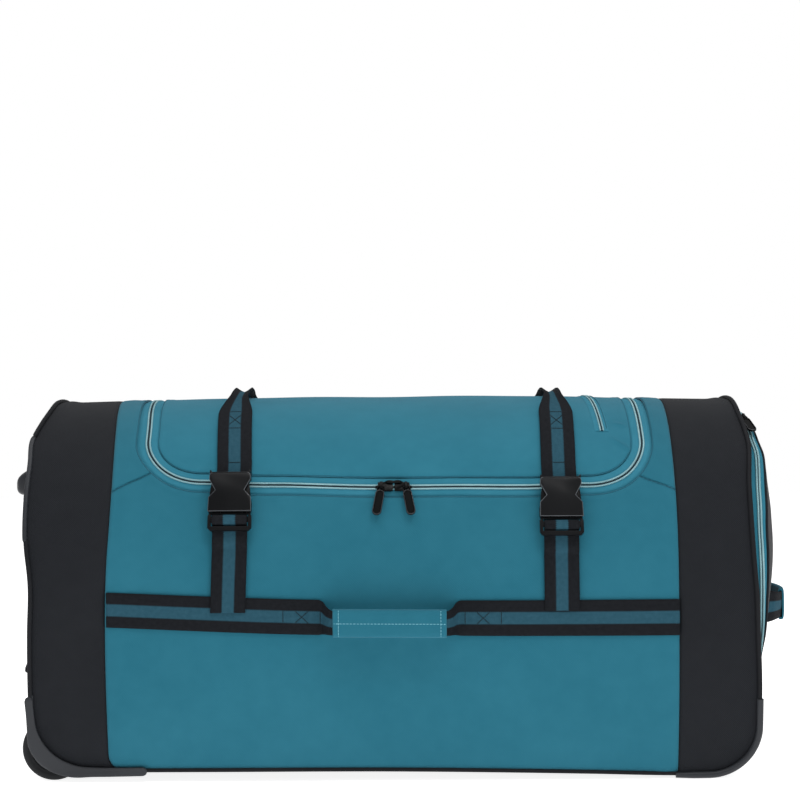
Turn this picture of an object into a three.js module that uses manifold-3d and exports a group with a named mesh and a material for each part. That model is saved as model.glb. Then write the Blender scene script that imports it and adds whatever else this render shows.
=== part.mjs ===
// Wheeled duffel bag standing on its base, in millimetres.
// X runs along the bag with the wheels at -X, the near side faces -Y and Z is up.
import * as THREE from "three";
import { mergeVertices } from "three/addons/utils/BufferGeometryUtils.js";
import Module from "manifold-3d";

const wasm = await Module();
wasm.setup();

// Body: a girth curve swept along X
const STATIONS = [
  { x: -383, base: 14, top: 403, half: 188 },
  { x: -301, base: 14, top: 405, half: 192 },
  { x: -204, base: 14, top: 406.5, half: 194.5 },
  { x: 0, base: 13.5, top: 408, half: 196 },
  { x: 204, base: 9.5, top: 406.5, half: 194.5 },
  { x: 301, base: 6.7, top: 404, half: 192 },
  { x: 377, base: 6.7, top: 402.5, half: 188 },
];
const END_X = { left: 383, right: 377 };
const SEAM_X = 301;
const WAIST_Z = 185;
const BASE_TUCK = 0.1;
const TUCK_POWER = 2.6;
const ARCH_POWER = 2.4;
const LOW_ROWS = 7;
const LOW_CROWDING = 1.6;
const HIGH_ROWS = 12;
const CORNER = { left: 52, right: 60 };
const CORNER_ROWS = [0.04, 0.3, 0.55];
const CLOTH = 2;
const BOARD = 3;
const GAP = 0.4;
const FOLD = { z: 122, reach: 4, half: 10 };

// Zips
const ZIP = { z: 311, x: 268, corner: 64, gap: 11, tape: 17, coil: 4, arcs: 6 };
const TAPE = { thick: 1.2, under: 0.9 };
const COIL_TOP = 0.6;
const DART_X = 261;
const DART_DROP = 2;
const LID_ZIP = { x: 223, z: 367, half: 13, coil: 3.5 };
const SLIDER = { x: 13, half: 4.5, inner: 12.2, outer: 3.8, reach: 5, low: 1, high: 3.2 };
const BAIL = { half: 1.5, reach: 4, post: 1.4, low: 6, high: 7.2 };
const PULL = { half: 4.2, length: 29, low: 4, high: 5.2, eye: 2.9, bar: 1, eyeLength: 7, splay: 10 };

// Webbing and straps
const WEB = { half: 19, thick: 1.6, low: 0.8, over: 2.8 };
const BAND = [
  { x: -300.6, z: 186 },
  { x: -204, z: 182.5 },
  { x: -80, z: 178.5 },
  { x: 0, z: 177.5 },
  { x: 204, z: 175.5 },
  { x: 300.6, z: 174.6 },
];
const HANDLE = { x: -5, start: 74, grip: 59, half: 12.5, thick: 3.2, droop: 5 };
const HANDLE_LIFT = [
  { at: 1, lift: 0 },
  { at: 0.96, lift: 6 },
  { at: 0.92, lift: 15 },
  { at: 0.86, lift: 22 },
  { at: 0.78, lift: 25 },
];
const GRIP = { high: 14.6, deep: 5.6, sides: 12 };
const STRAP_X = 176;
const STRAP_END_Z = 182;
const FAR_BAND_Z = 178;
const LOOP = { reach: 112, lift: 3, narrow: 6, edge: 4.5 };

// Buckles, in a frame of their own: a across, b up the strap, c out from the bag
const BUCKLES = [
  { name: "left", x: -STRAP_X, z: 297 },
  { name: "right", x: STRAP_X, z: 290 },
];
const BUCKLE = { stand: 5.2, thick: 9, half: 23, top: 32, foot: -32, split: -12.5, skin: 2.2 };
const BUCKLE_SIDE = [
  { a: 19, b: 32 },
  { a: 21.5, b: 29.5 },
  { a: 21, b: 24 },
  { a: 14.5, b: 12.5 },
  { a: 14.5, b: 1.5 },
  { a: 22.4, b: 1.5 },
  { a: 23, b: -4 },
  { a: 22.4, b: -12.5 },
];
const LADDER = { low: 2.5, high: 6.5, slot: 19.6, bars: [-27.5, -22.5, -17, -14.2] };
const PRONG = { inner: 9.5, outer: 13.2, tip: 9, button: 21.4, from: 2, to: 7.6 };
const THREADING = [
  { b: -44, c: -3 },
  { b: -34, c: -1.2 },
  { b: -27.5, c: 0.3 },
  { b: -24.6, c: 3 },
  { b: -24.4, c: 6.6 },
  { b: -22.8, c: 8.6 },
  { b: -19.7, c: 9 },
  { b: -16.6, c: 8.6 },
  { b: -15.6, c: 6.5 },
  { b: -15.6, c: 2.8 },
];

// End pocket and end handle on the right end
const POCKET = { z: 115, inset: 12, flare: 3, low: 2, high: 17.5, rise: 85, bulge: 26, wall: 1.4 };
const POCKET_COIL = { low: 1.3, high: 3, share: 0.36 };
const POCKET_SLIDER_Z = 388;
const END_HANDLE = { z: 168, tab: 98, start: 74, grip: 46, x: 444.4 };
const END_LOOP = [
  { y: 66, share: 0.34 },
  { y: 57, share: 0.55 },
  { y: 46, share: 0.74 },
  { y: 24, share: 0.94 },
];

// Wheels, guards and feet
const WHEEL = { x: -365, y: 147, r: 34, rim: 24, half: 12, shoulder: 3, bore: 4.4, sides: 20 };
const AXLE_R = 4;
const WELL = { r: 37, half: 13.5, wall: 3 };
const GUARD = { x: -269, z: 95, outside: 4.2, low: 0.9, high: 3.4, inboard: 95, arcs: 8 };
const GUARD_INSIDE = [
  { at: 0, inside: 6.5 },
  { at: 0.36, inside: 8.2 },
  { at: 0.6, inside: 11 },
  { at: 0.83, inside: 5 },
  { at: 1, inside: 2.3 },
];
const SKID = { x: 297, z: 86, out: 3.1, flat: 3.6, arcs: 8 };
const PIPING = { r: 2.5, out: 2.1, sides: 6 };
const PLATE = { from: 257, to: 370, inset: 6, innerLow: 80, innerHigh: 62, thick: 6.5 };
const FOOT = { tip: -407, low: 296, high: 340, flatLow: 305, flatHigh: 331, yNear: 148, yFar: 104 };

// Frame: the origin is under the middle of the bag's box
const FRAME_X = 20.7;
const FRAME_Y = -14.76;

const root = new THREE.Group();
root.position.set(-FRAME_X, -FRAME_Y, 0);

// Materials
const finish = (color, roughness, metalness = 0) => ({ color, roughness, metalness });
const TEAL = finish(0x317489, 0.8);
const LID_TEAL = finish(0x377a8d, 0.8);
const BLACK = finish(0x27282c, 0.85);
const WEBBING = finish(0x22252a, 0.85);
const ZIP_TAPE = finish(0x3e7a8f, 0.8);
const COIL = finish(0xa5cdd2, 0.45);
const PLASTIC = finish(0x3a3c40, 0.55);
const BUCKLE_BLACK = finish(0x202224, 0.4);
const RUBBER = finish(0x313133, 0.8);
const STEEL = finish(0x8c9092, 0.35, 1);
const DARK_METAL = finish(0x1d1f22, 0.4, 0.6);

function add(name, geometry, look) {
  const mesh = new THREE.Mesh(geometry, new THREE.MeshStandardMaterial(look));
  mesh.name = name;
  root.add(mesh);
}

// Welds a bent solid, drops triangles that closed up and turns its faces out.
function closed(geometry) {
  const bare = new THREE.BufferGeometry();
  bare.setAttribute("position", geometry.getAttribute("position"));
  bare.setIndex(geometry.index);
  const welded = mergeVertices(bare, 1e-3);
  const at = welded.getAttribute("position");
  const corner = (i) => new THREE.Vector3().fromBufferAttribute(at, i);
  const kept = [];
  let volume = 0;
  for (let i = 0; i < welded.index.count; i += 3) {
    const [a, b, c] = welded.index.array.subarray(i, i + 3);
    if (a === b || b === c || c === a) continue;
    kept.push(a, b, c);
    volume += corner(a).dot(corner(b).cross(corner(c)));
  }
  if (volume < 0) kept.reverse();
  welded.setIndex(kept);
  return welded;
}

function bend(geometry, place) {
  const at = geometry.getAttribute("position");
  for (let i = 0; i < at.count; i += 1) {
    const moved = place(at.getX(i), at.getY(i), at.getZ(i));
    at.setXYZ(i, moved.x, moved.y, moved.z);
  }
  return closed(geometry);
}

// A thin box of columns by rows; place(i, j, k) gives each corner, with k 1 on its outer face.
function sheet(columns, rows, place) {
  const box = new THREE.BoxGeometry(1, 1, 1, columns, rows, 1);
  const count = (share, steps) => Math.round((share + 0.5) * steps);
  return bend(box, (x, y, z) => place(count(x, columns), count(y, rows), count(z, 1)));
}

// A round or many-sided bar along a path of { p, u, v } frames.
function bar(path, ru, rv, sides) {
  const steps = path.length - 1;
  const round = new THREE.CylinderGeometry(1, 1, 1, sides, steps, false, Math.PI / sides);
  return bend(round, (x, y, z) => {
    const at = path[Math.round((y + 0.5) * steps)];
    return at.p.clone().addScaledVector(at.u, x * ru).addScaledVector(at.v, z * rv);
  });
}

function solid(geometry) {
  const body = closed(geometry);
  const vertProperties = body.getAttribute("position").array;
  const triVerts = new Uint32Array(body.index.array);
  return new wasm.Manifold(new wasm.Mesh({ numProp: 3, vertProperties, triVerts }));
}

function geometryOf(body) {
  const mesh = body.getMesh();
  const made = new THREE.BufferGeometry();
  made.setAttribute("position", new THREE.BufferAttribute(mesh.vertProperties, 3));
  made.setIndex(new THREE.BufferAttribute(mesh.triVerts, 1));
  return made;
}

function block(x0, x1, y0, y1, z0, z1) {
  const box = new THREE.BoxGeometry(x1 - x0, y1 - y0, z1 - z0);
  return box.translate((x0 + x1) / 2, (y0 + y1) / 2, (z0 + z1) / 2);
}

// A cylinder about an axis along Y.
function drum(x, z, r, y0, y1, sides) {
  const round = new THREE.CylinderGeometry(r, r, y1 - y0, sides);
  return round.translate(x, (y0 + y1) / 2, z);
}

// A flat outline of { a, b } points made deep along c.
function slab(outline, c0, c1) {
  const shape = new THREE.Shape(outline.map(({ a, b }) => new THREE.Vector2(a, b)));
  const made = new THREE.ExtrudeGeometry(shape, { depth: c1 - c0, bevelEnabled: false });
  return made.translate(0, 0, c0);
}

const mirrored = (side) => side.concat(side.map(({ a, b }) => ({ a: -a, b })).reverse());
const mix = THREE.MathUtils.lerp;
const UP = new THREE.Vector3(0, 0, 1);
const DOWN = new THREE.Vector3(0, 0, -1);

// Value of a table's column at x, straight between its rows.
function read(table, key, column, x) {
  let i = 1;
  while (i < table.length - 1 && x > table[i][key]) i += 1;
  const share = (x - table[i - 1][key]) / (table[i][key] - table[i - 1][key]);
  return mix(table[i - 1][column], table[i][column], THREE.MathUtils.clamp(share, 0, 1));
}

// The girth: half a section from the base edge to the crown, as shares of the station's sizes
const HALF_SECTION = [];
for (let k = 0; k <= LOW_ROWS; k += 1) {
  const up = (k / LOW_ROWS) ** LOW_CROWDING;
  HALF_SECTION.push({ y: 1 - BASE_TUCK * (1 - up) ** TUCK_POWER, low: up, high: 0 });
}
for (let k = 1; k <= HIGH_ROWS; k += 1) {
  const angle = (k / HIGH_ROWS) * (Math.PI / 2);
  const y = k < HIGH_ROWS ? Math.cos(angle) ** (2 / ARCH_POWER) : 0;
  HALF_SECTION.push({ y, low: 1, high: Math.sin(angle) ** (2 / ARCH_POWER) });
}

const sectionAt = (x, row) => {
  const [base, top, half] = ["base", "top", "half"].map((column) => read(STATIONS, "x", column, x));
  const z = base + row.low * (WAIST_Z - base) + row.high * (top - WAIST_Z);
  return new THREE.Vector3(x, -row.y * half, z);
};

let run = 0;
HALF_SECTION.forEach((row, k) => {
  if (k > 0) run += sectionAt(0, row).distanceTo(sectionAt(0, HALF_SECTION[k - 1]));
  row.s = run;
});
const HALF_GIRTH = run;
const GIRTH = 2 * HALF_GIRTH;
const BREAKS = HALF_SECTION.map((row) => row.s);
const ALL_BREAKS = BREAKS.concat(BREAKS.slice(0, -1).reverse().map((s) => GIRTH - s));

// Point of the outer skin at x and at s along the girth, from the near base edge over the crown.
function skin(x, s) {
  const along = s <= HALF_GIRTH ? s : GIRTH - s;
  const row = {};
  for (const column of ["y", "low", "high"]) row[column] = read(HALF_SECTION, "s", column, along);
  const at = sectionAt(x, row);
  if (s > HALF_GIRTH) at.y = -at.y;
  return at;
}

function skinNormal(x, s) {
  const step = 0.5;
  const alongX = skin(x + step, s).sub(skin(x - step, s));
  const low = Math.max(s - step, 0);
  const high = Math.min(s + step, GIRTH);
  return alongX.cross(skin(x, high).sub(skin(x, low))).normalize();
}

function onSkin(x, s, out) {
  return skin(x, s).addScaledVector(skinNormal(x, s), out);
}

// Place along the near half of the girth that lies at height z.
function girthAt(x, z) {
  let low = 0;
  let high = HALF_GIRTH;
  for (let i = 0; i < 40; i += 1) {
    const middle = (low + high) / 2;
    if (skin(x, middle).z < z) low = middle;
    else high = middle;
  }
  return (low + high) / 2;
}

const rowsBetween = (from, to, extra = []) =>
  [from, to, ...ALL_BREAKS, ...extra]
    .filter((s) => s >= from && s <= to)
    .sort((a, b) => a - b)
    .filter((s, i, list) => i === 0 || s - list[i - 1] > 1e-6);

// Side outline of an end: the wall, the rounded lower corner and the base
const sideOf = (side) => (side < 0 ? CORNER.left : CORNER.right);
const reachOf = (side) => (side < 0 ? END_X.left : END_X.right);
const baseOf = (side) => read(STATIONS, "x", "base", side * reachOf(side));

function endReach(side, z) {
  const r = sideOf(side);
  const up = Math.max(z - baseOf(side), 0);
  return up >= r ? reachOf(side) : reachOf(side) - r + Math.sqrt(r * r - (r - up) ** 2);
}

// Point of the end's edge at s, with the direction e out of the end wall or the base.
function edge(side, s) {
  const r = sideOf(side);
  const { z } = skin(side * reachOf(side), s);
  const x = side * endReach(side, z);
  const p = skin(x, s);
  const e = new THREE.Vector3(x - side * (reachOf(side) - r), 0, p.z - baseOf(side) - r);
  if (e.z > 0) e.set(side, 0, 0);
  return { p, e: e.normalize(), n: skinNormal(x, s) };
}

// The same edge as a path along the base from x, round the corner and up to z.
function cornerPath(side, x, z, arcs) {
  const r = sideOf(side);
  const base = baseOf(side);
  const wall = side * reachOf(side);
  const centre = wall - side * r;
  const path = [x, mix(x, centre, 0.5)].map((at) => ({ x: at, z: base, e: DOWN.clone() }));
  for (let i = 0; i <= arcs; i += 1) {
    const angle = (i / arcs) * (Math.PI / 2);
    const e = new THREE.Vector3(side * Math.sin(angle), 0, -Math.cos(angle));
    path.push({ x: centre + e.x * r, z: base + r + e.z * r, e });
  }
  path.push({ x: wall, z: mix(base + r, z, 0.5), e: new THREE.Vector3(side, 0, 0) });
  path.push({ x: wall, z, e: new THREE.Vector3(side, 0, 0) });
  return path;
}

// Half width of the skin at x and a height below the waist.
const halfWidth = (x, z) => -skin(x, girthAt(x, Math.max(z, baseOf(Math.sign(x))))).y;

// Zip line in skin coordinates, from the far end of the left run round to the far end of the right run
const ZIP_S = girthAt(0, ZIP.z);
const HINGE_S = GIRTH - ZIP_S;
const ARC_X = ZIP.x - ZIP.corner;
const ARC_S = ZIP_S + ZIP.corner;

function zipLine() {
  const run = rowsBetween(ARC_S, HINGE_S - GAP);
  const right = [];
  for (let i = 0; i < ZIP.arcs; i += 1) {
    const angle = (i / ZIP.arcs) * (Math.PI / 2);
    const nx = Math.sin(angle);
    const ns = -Math.cos(angle);
    right.push({ x: ARC_X + ZIP.corner * nx, s: ARC_S + ZIP.corner * ns, nx, ns });
  }
  run.forEach((s) => right.push({ x: ZIP.x, s, nx: 1, ns: 0 }));
  const left = right.map(({ x, s, nx, ns }) => ({ x: -x, s, nx: -nx, ns })).reverse();
  return [...left, { x: 0, s: ZIP_S, nx: 0, ns: -1 }, ...right];
}

// A ribbon beside the zip line, from distance d0 to d1 outside it.
function besideZip(d0, d1, low, high) {
  const line = zipLine();
  return sheet(line.length - 1, 1, (i, j, k) => {
    const { x, s, nx, ns } = line[i];
    const d = j ? d1 : d0;
    return onSkin(x + nx * d, s + ns * d, k ? high : low);
  });
}

// Lower edge of the lid's opening in skin coordinates, d outside the zip line.
function openingEdge(x, d) {
  const r = ZIP.corner + d;
  const over = Math.min(Math.max(Math.abs(x) - ARC_X, 0), r);
  return ARC_S - Math.sqrt(r * r - over * over);
}

// Columns across a corner of the opening, from ARC_X out to x.
const cornerColumns = (x, d, steps) => {
  const r = ZIP.corner + d;
  const last = Math.asin(Math.min((x - ARC_X) / r, 1));
  return Array.from({ length: steps }, (_, i) => ARC_X + r * Math.sin((last * (i + 1)) / steps));
};
const bothSides = (columns) => [...columns.map((x) => -x).reverse(), -ARC_X, 0, ARC_X, ...columns];

// Cloth panels of the body
function sidePanels() {
  const seam = SEAM_X - GAP / 2;
  const xs = bothSides([...cornerColumns(DART_X, ZIP.gap, 3), seam]);
  const dartTop = openingEdge(DART_X, ZIP.gap);
  const dartEnd = ZIP_S - DART_DROP;
  const topOf = (x) => {
    const out = Math.abs(x);
    if (out <= DART_X) return openingEdge(x, ZIP.gap);
    return mix(dartTop, dartEnd, (out - DART_X) / (SEAM_X - DART_X));
  };
  const rows = rowsBetween(0, dartTop);
  const near = sheet(xs.length - 1, rows.length - 1, (i, j, k) => {
    const s = Math.min(rows[j], topOf(xs[i]));
    return onSkin(xs[i], s, k ? 0 : -CLOTH);
  });
  add("near_side_panel", near, TEAL);

  const farXs = [-seam, -ARC_X, 0, ARC_X, seam];
  const farRows = rowsBetween(HINGE_S + GAP / 2, GIRTH);
  const far = sheet(farXs.length - 1, farRows.length - 1, (i, j, k) =>
    onSkin(farXs[i], farRows[j], k ? 0 : -CLOTH),
  );
  add("far_side_panel", far, TEAL);

  for (const [name, side] of [["left", -1], ["right", 1]]) {
    const corner = [16, 28, 44, 64].map((up) => ZIP_S + up);
    const stripRows = rowsBetween(dartEnd + GAP, HINGE_S - GAP / 2, corner);
    const strip = sheet(1, stripRows.length - 1, (i, j, k) => {
      const s = i ? stripRows[j] : Math.max(stripRows[j], dartTop + GAP);
      const r = ZIP.corner + ZIP.gap;
      const inner = ARC_X + Math.sqrt(r * r - Math.max(ARC_S - s, 0) ** 2);
      return onSkin(side * (i ? seam : inner), s, k ? 0 : -CLOTH);
    });
    add(`top_strip_${name}`, strip, TEAL);
  }
}

function lidFlap() {
  const xs = bothSides(cornerColumns(ZIP.x - ZIP.gap, -ZIP.gap, 4));
  const rows = rowsBetween(ZIP_S + ZIP.gap, HINGE_S - GAP / 2);
  const flap = sheet(xs.length - 1, rows.length - 1, (i, j, k) => {
    const s = Math.max(rows[j], openingEdge(xs[i], -ZIP.gap));
    return onSkin(xs[i], s, k ? 0 : -CLOTH);
  });
  add("lid_flap", flap, LID_TEAL);
}

// Height shares of the lower corner that get a row of their own, as places along the girth
const cornerRows = (side) => {
  const near = CORNER_ROWS.map((share) => girthAt(0, baseOf(side) + share * sideOf(side)));
  return [...near, ...near.map((s) => GIRTH - s)];
};

function wraps() {
  for (const [name, side] of [["left", -1], ["right", 1]]) {
    const rows = rowsBetween(0, GIRTH, cornerRows(side));
    const wrap = sheet(1, rows.length - 1, (i, j, k) => {
      const reach = i ? Math.abs(edge(side, rows[j]).p.x) : SEAM_X + GAP / 2;
      return onSkin(side * reach, rows[j], k ? 0 : -CLOTH);
    });
    add(`${name}_wrap`, wrap, BLACK);
  }
}

function endPanel(side) {
  const folds = side < 0 ? [-1, -0.4, 0, 0.4, 1].map((at) => FOLD.z + at * FOLD.half) : [];
  const extra = folds.map((z) => girthAt(side * reachOf(side), z));
  const rows = rowsBetween(0, HALF_GIRTH, [...extra, ...cornerRows(side)]);
  return sheet(2, rows.length - 1, (i, j, k) => {
    const { p, e, n } = edge(side, rows[j]);
    const at = p.addScaledVector(n, -CLOTH - GAP);
    const fold = folds.length ? Math.max(0, 1 - Math.abs(at.z - FOLD.z) / FOLD.half) : 0;
    const out = FOLD.reach * fold * fold * (3 - 2 * fold) - (k ? 0 : CLOTH);
    at.addScaledVector(e, out);
    at.y *= 1 - i;
    return at;
  });
}

function basePanel() {
  const left = -(END_X.left - CORNER.left) + GAP;
  const right = END_X.right - CORNER.right - GAP;
  const xs = [left, -SEAM_X, -ARC_X, 0, ARC_X, SEAM_X, right];
  return sheet(xs.length - 1, 2, (i, j, k) => {
    const at = onSkin(xs[i], 0, -CLOTH - GAP);
    at.y *= 1 - j;
    at.z = read(STATIONS, "x", "base", xs[i]) + (k ? BOARD : 0);
    return at;
  });
}

function piping() {
  for (const [name, side, z] of [["left", -1, GUARD.z], ["right", 1, SKID.z]]) {
    const from = girthAt(side * reachOf(side), z + 3);
    const path = rowsBetween(from, GIRTH - from).map((s) => {
      const { p, e, n } = edge(side, s);
      p.addScaledVector(n, PIPING.out).addScaledVector(e, PIPING.out);
      return { p, u: n, v: e };
    });
    add(`piping_${name}`, bar(path, PIPING.r, PIPING.r, PIPING.sides), BLACK);
  }
  const xs = [GUARD.x + 7, -ARC_X, 0, ARC_X, SKID.x - 3];
  for (const [name, s] of [["near", 0], ["far", GIRTH]]) {
    const path = xs.map((x) => {
      const n = skinNormal(x, s);
      const p = skin(x, s).addScaledVector(n, PIPING.out).addScaledVector(DOWN, PIPING.out);
      return { p, u: n, v: DOWN };
    });
    add(`piping_base_${name}`, bar(path, PIPING.r, PIPING.r, PIPING.sides), BLACK);
  }
}

// Zip sliders and pulls are built in a frame whose c axis leaves the cloth
function frameOn(x, s, out) {
  const c = skinNormal(x, s);
  const a = new THREE.Vector3(1, 0, 0).addScaledVector(c, -c.x).normalize();
  const b = new THREE.Vector3().crossVectors(c, a);
  return new THREE.Matrix4().makeBasis(a, b, c).setPosition(onSkin(x, s, out));
}

function sliderShape(from, to) {
  let made = solid(block(from, to, -SLIDER.reach, SLIDER.reach, SLIDER.low, SLIDER.high));
  for (const end of [-1, 1]) {
    const inner = end * (BAIL.reach - BAIL.post);
    const outer = end * BAIL.reach;
    const post = block(-BAIL.half, BAIL.half, Math.min(inner, outer), Math.max(inner, outer), 2, BAIL.high);
    made = made.add(solid(post));
  }
  const bridge = block(-BAIL.half, BAIL.half, -BAIL.reach, BAIL.reach, BAIL.low, BAIL.high);
  return geometryOf(made.add(solid(bridge)));
}

function pullShape() {
  const side = [
    { a: PULL.half - 0.6, b: PULL.bar },
    { a: PULL.half, b: -2 },
    { a: PULL.half, b: PULL.bar - PULL.length + 2 },
    { a: PULL.half - 1.6, b: PULL.bar - PULL.length },
  ];
  const plate = solid(slab(mirrored(side), PULL.low, PULL.high));
  const eyeTop = -PULL.bar;
  const eye = block(-PULL.eye, PULL.eye, eyeTop - PULL.eyeLength, eyeTop, 0, 8);
  return geometryOf(plate.subtract(solid(eye)));
}

const turned = (degrees) => new THREE.Matrix4().makeRotationZ(THREE.MathUtils.degToRad(degrees));

function mainZip() {
  const high = -CLOTH - TAPE.under;
  const low = high - TAPE.thick;
  add("main_zip_tape_lower", besideZip(0.6, ZIP.tape, low, high), ZIP_TAPE);
  add("main_zip_tape_upper", besideZip(-ZIP.tape, -0.6, low, high), ZIP_TAPE);
  add("main_zip_coil", besideZip(-ZIP.coil, ZIP.coil, high + GAP, COIL_TOP), COIL);
  for (const [name, side] of [["left", -1], ["right", 1]]) {
    const frame = frameOn(side * SLIDER.x, ZIP_S, 0);
    const ends = [-side * SLIDER.inner, side * SLIDER.outer].sort((a, b) => a - b);
    add(`main_zip_slider_${name}`, sliderShape(...ends).applyMatrix4(frame), DARK_METAL);
    const hung = frame.clone().multiply(turned(side * PULL.splay));
    add(`main_zip_pull_${name}`, pullShape().applyMatrix4(hung), DARK_METAL);
  }
}

function lidZip() {
  const from = girthAt(LID_ZIP.x, LID_ZIP.z);
  const rows = rowsBetween(from, GIRTH - from);
  const strip = (half, low, high) =>
    sheet(1, rows.length - 1, (i, j, k) => {
      const x = LID_ZIP.x + (i ? half : -half);
      return onSkin(x, rows[j], k ? high : low);
    });
  add("lid_zip_tape", strip(LID_ZIP.half, GAP, GAP + 1), ZIP_TAPE);
  add("lid_zip_coil", strip(LID_ZIP.coil, 2 * GAP + 1, 3.4), COIL);
  const slider = block(-SLIDER.half, SLIDER.half, -SLIDER.reach, SLIDER.reach, 3.4 + GAP, 6.4);
  const frame = frameOn(LID_ZIP.x, GIRTH - from - 2 * SLIDER.reach, 0);
  add("lid_zip_slider", slider.applyMatrix4(frame), DARK_METAL);
}

// A ribbon of webbing along a path of { p, n }, with its width along across.
function ribbon(path, across, half, thick) {
  return sheet(path.length - 1, 1, (i, j, k) => {
    const { p, n } = path[i];
    return p
      .clone()
      .addScaledVector(across, j ? half : -half)
      .addScaledVector(n, k ? thick / 2 : -thick / 2);
  });
}

// The side handle: its lift off the band and its share of the way from band to grip
function handleAt(x) {
  const off = Math.abs(x - HANDLE.x) / HANDLE.start;
  if (off >= 1) return { lift: 0, share: 0 };
  const last = HANDLE_LIFT[HANDLE_LIFT.length - 1];
  const lift = off <= last.at ? last.lift : read([...HANDLE_LIFT].reverse(), "at", "lift", off);
  return { lift, share: Math.min(lift / last.lift, 1) };
}

// Point of the near webbing: w across it from -1 to 1, out from its inner face.
function webbingPoint(x, w, out, half, thick) {
  const { lift, share } = handleAt(x);
  const s = girthAt(x, read(BAND, "x", "z", x)) + w * WEB.half;
  const flat = onSkin(x, s, WEB.low + out * WEB.thick);
  const face = skin(HANDLE.x, girthAt(HANDLE.x, WAIST_Z)).y - WEB.low;
  const z = read(BAND, "x", "z", x) - HANDLE.droop + w * half;
  const free = new THREE.Vector3(x, face - lift - out * thick, z);
  return flat.lerp(free, share);
}

function nearWebbing() {
  const offs = [...HANDLE_LIFT.map(({ at }) => at * HANDLE.start), HANDLE.grip - 6];
  const loop = [0, ...offs, ...offs.map((off) => -off)].map((off) => HANDLE.x + off);
  loop.sort((a, b) => a - b);
  const xs = [...BAND.map(({ x }) => x).filter((x) => Math.abs(x - HANDLE.x) > HANDLE.start), ...loop];
  xs.sort((a, b) => a - b);
  const web = sheet(xs.length - 1, 2, (i, j, k) =>
    webbingPoint(xs[i], j - 1, k, HANDLE.half, HANDLE.thick),
  );
  add("near_webbing", web, WEBBING);

  const ends = [-1, -0.92, 0, 0.92, 1];
  const path = ends.map((end) => {
    const x = HANDLE.x + end * HANDLE.grip;
    const size = Math.abs(end) === 1 ? 0.9 : 1;
    const p = webbingPoint(x, 0, 0.5, HANDLE.half, HANDLE.thick);
    const grown = (axis) => axis.clone().multiplyScalar(size);
    return { p, u: grown(new THREE.Vector3(0, -1, 0)), v: grown(UP) };
  });
  const outer = solid(bar(path, GRIP.deep, GRIP.high, GRIP.sides));
  const inner = loop.filter((x) => Math.abs(x - HANDLE.x) < HANDLE.grip + 6);
  const slot = sheet(inner.length - 1, 1, (i, j, k) => {
    const at = webbingPoint(inner[i], j ? 1 : -1, k, HANDLE.half + GAP, HANDLE.thick);
    at.y += k ? -GAP : GAP;
    return at;
  });
  add("near_grip", geometryOf(outer.subtract(solid(slot))), TEAL);
}

function farWebbing() {
  const xs = [-SEAM_X + GAP, -ARC_X, 0, ARC_X, SEAM_X - GAP];
  const band = sheet(xs.length - 1, 2, (i, j, k) => {
    const s = GIRTH - girthAt(xs[i], FAR_BAND_Z) + (j - 1) * WEB.half;
    return onSkin(xs[i], s, WEB.low + k * WEB.thick);
  });
  add("far_webbing", band, WEBBING);
}

// Path through { p } points in the plane of one strap, with the normal on the bag's outer side.
function withNormals(points, outward) {
  return points.map((p, i) => {
    const before = points[Math.max(i - 1, 0)];
    const after = points[Math.min(i + 1, points.length - 1)];
    const n = new THREE.Vector3(1, 0, 0).cross(after.clone().sub(before)).normalize();
    return { p, n: n.multiplyScalar(outward) };
  });
}

function buckleFrame({ x, z }) {
  return frameOn(x, girthAt(x, z), BUCKLE.stand);
}

function lowerStrap(buckle) {
  const frame = buckleFrame(buckle);
  const threaded = THREADING.map(({ b, c }) => new THREE.Vector3(0, b, c).applyMatrix4(frame));
  const from = girthAt(buckle.x, STRAP_END_Z);
  const middle = WEB.over + WEB.thick / 2;
  const flat = rowsBetween(from, girthAt(buckle.x, threaded[0].z) - 6);
  const points = [...flat.map((s) => onSkin(buckle.x, s, middle)), ...threaded];
  const path = withNormals(points.map((p) => p.setX(buckle.x)), 1);
  return ribbon(path, new THREE.Vector3(1, 0, 0), WEB.half, WEB.thick);
}

function upperStrap(buckle) {
  const start = new THREE.Vector3(0, BUCKLE.top - 9, 0).applyMatrix4(buckleFrame(buckle));
  const from = girthAt(buckle.x, start.z);
  const to = GIRTH - girthAt(buckle.x, STRAP_END_Z);
  const rows = rowsBetween(from, to, [HALF_GIRTH - LOOP.reach, HALF_GIRTH + LOOP.reach]);
  return sheet(2, rows.length - 1, (i, j, k) => {
    const off = Math.min(Math.abs(rows[j] - HALF_GIRTH) / LOOP.reach, 1);
    const loop = Math.cos((off * Math.PI) / 2) ** 2;
    const fold = Math.min(2 * loop, 1);
    const x = buckle.x + (i - 1) * (WEB.half - LOOP.narrow * fold);
    const out = WEB.over + LOOP.lift * loop + (i === 1 ? 0 : LOOP.edge * fold) + k * WEB.thick;
    return onSkin(x, rows[j], out);
  });
}

function buckleTop() {
  const outline = mirrored(BUCKLE_SIDE);
  const body = solid(slab(outline, 0, BUCKLE.thick));
  const room = PRONG.button - 4;
  const hollow = block(-room, room, BUCKLE.split - 5, 10.5, BUCKLE.skin, BUCKLE.thick - BUCKLE.skin);
  return geometryOf(body.subtract(solid(hollow)));
}

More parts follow.
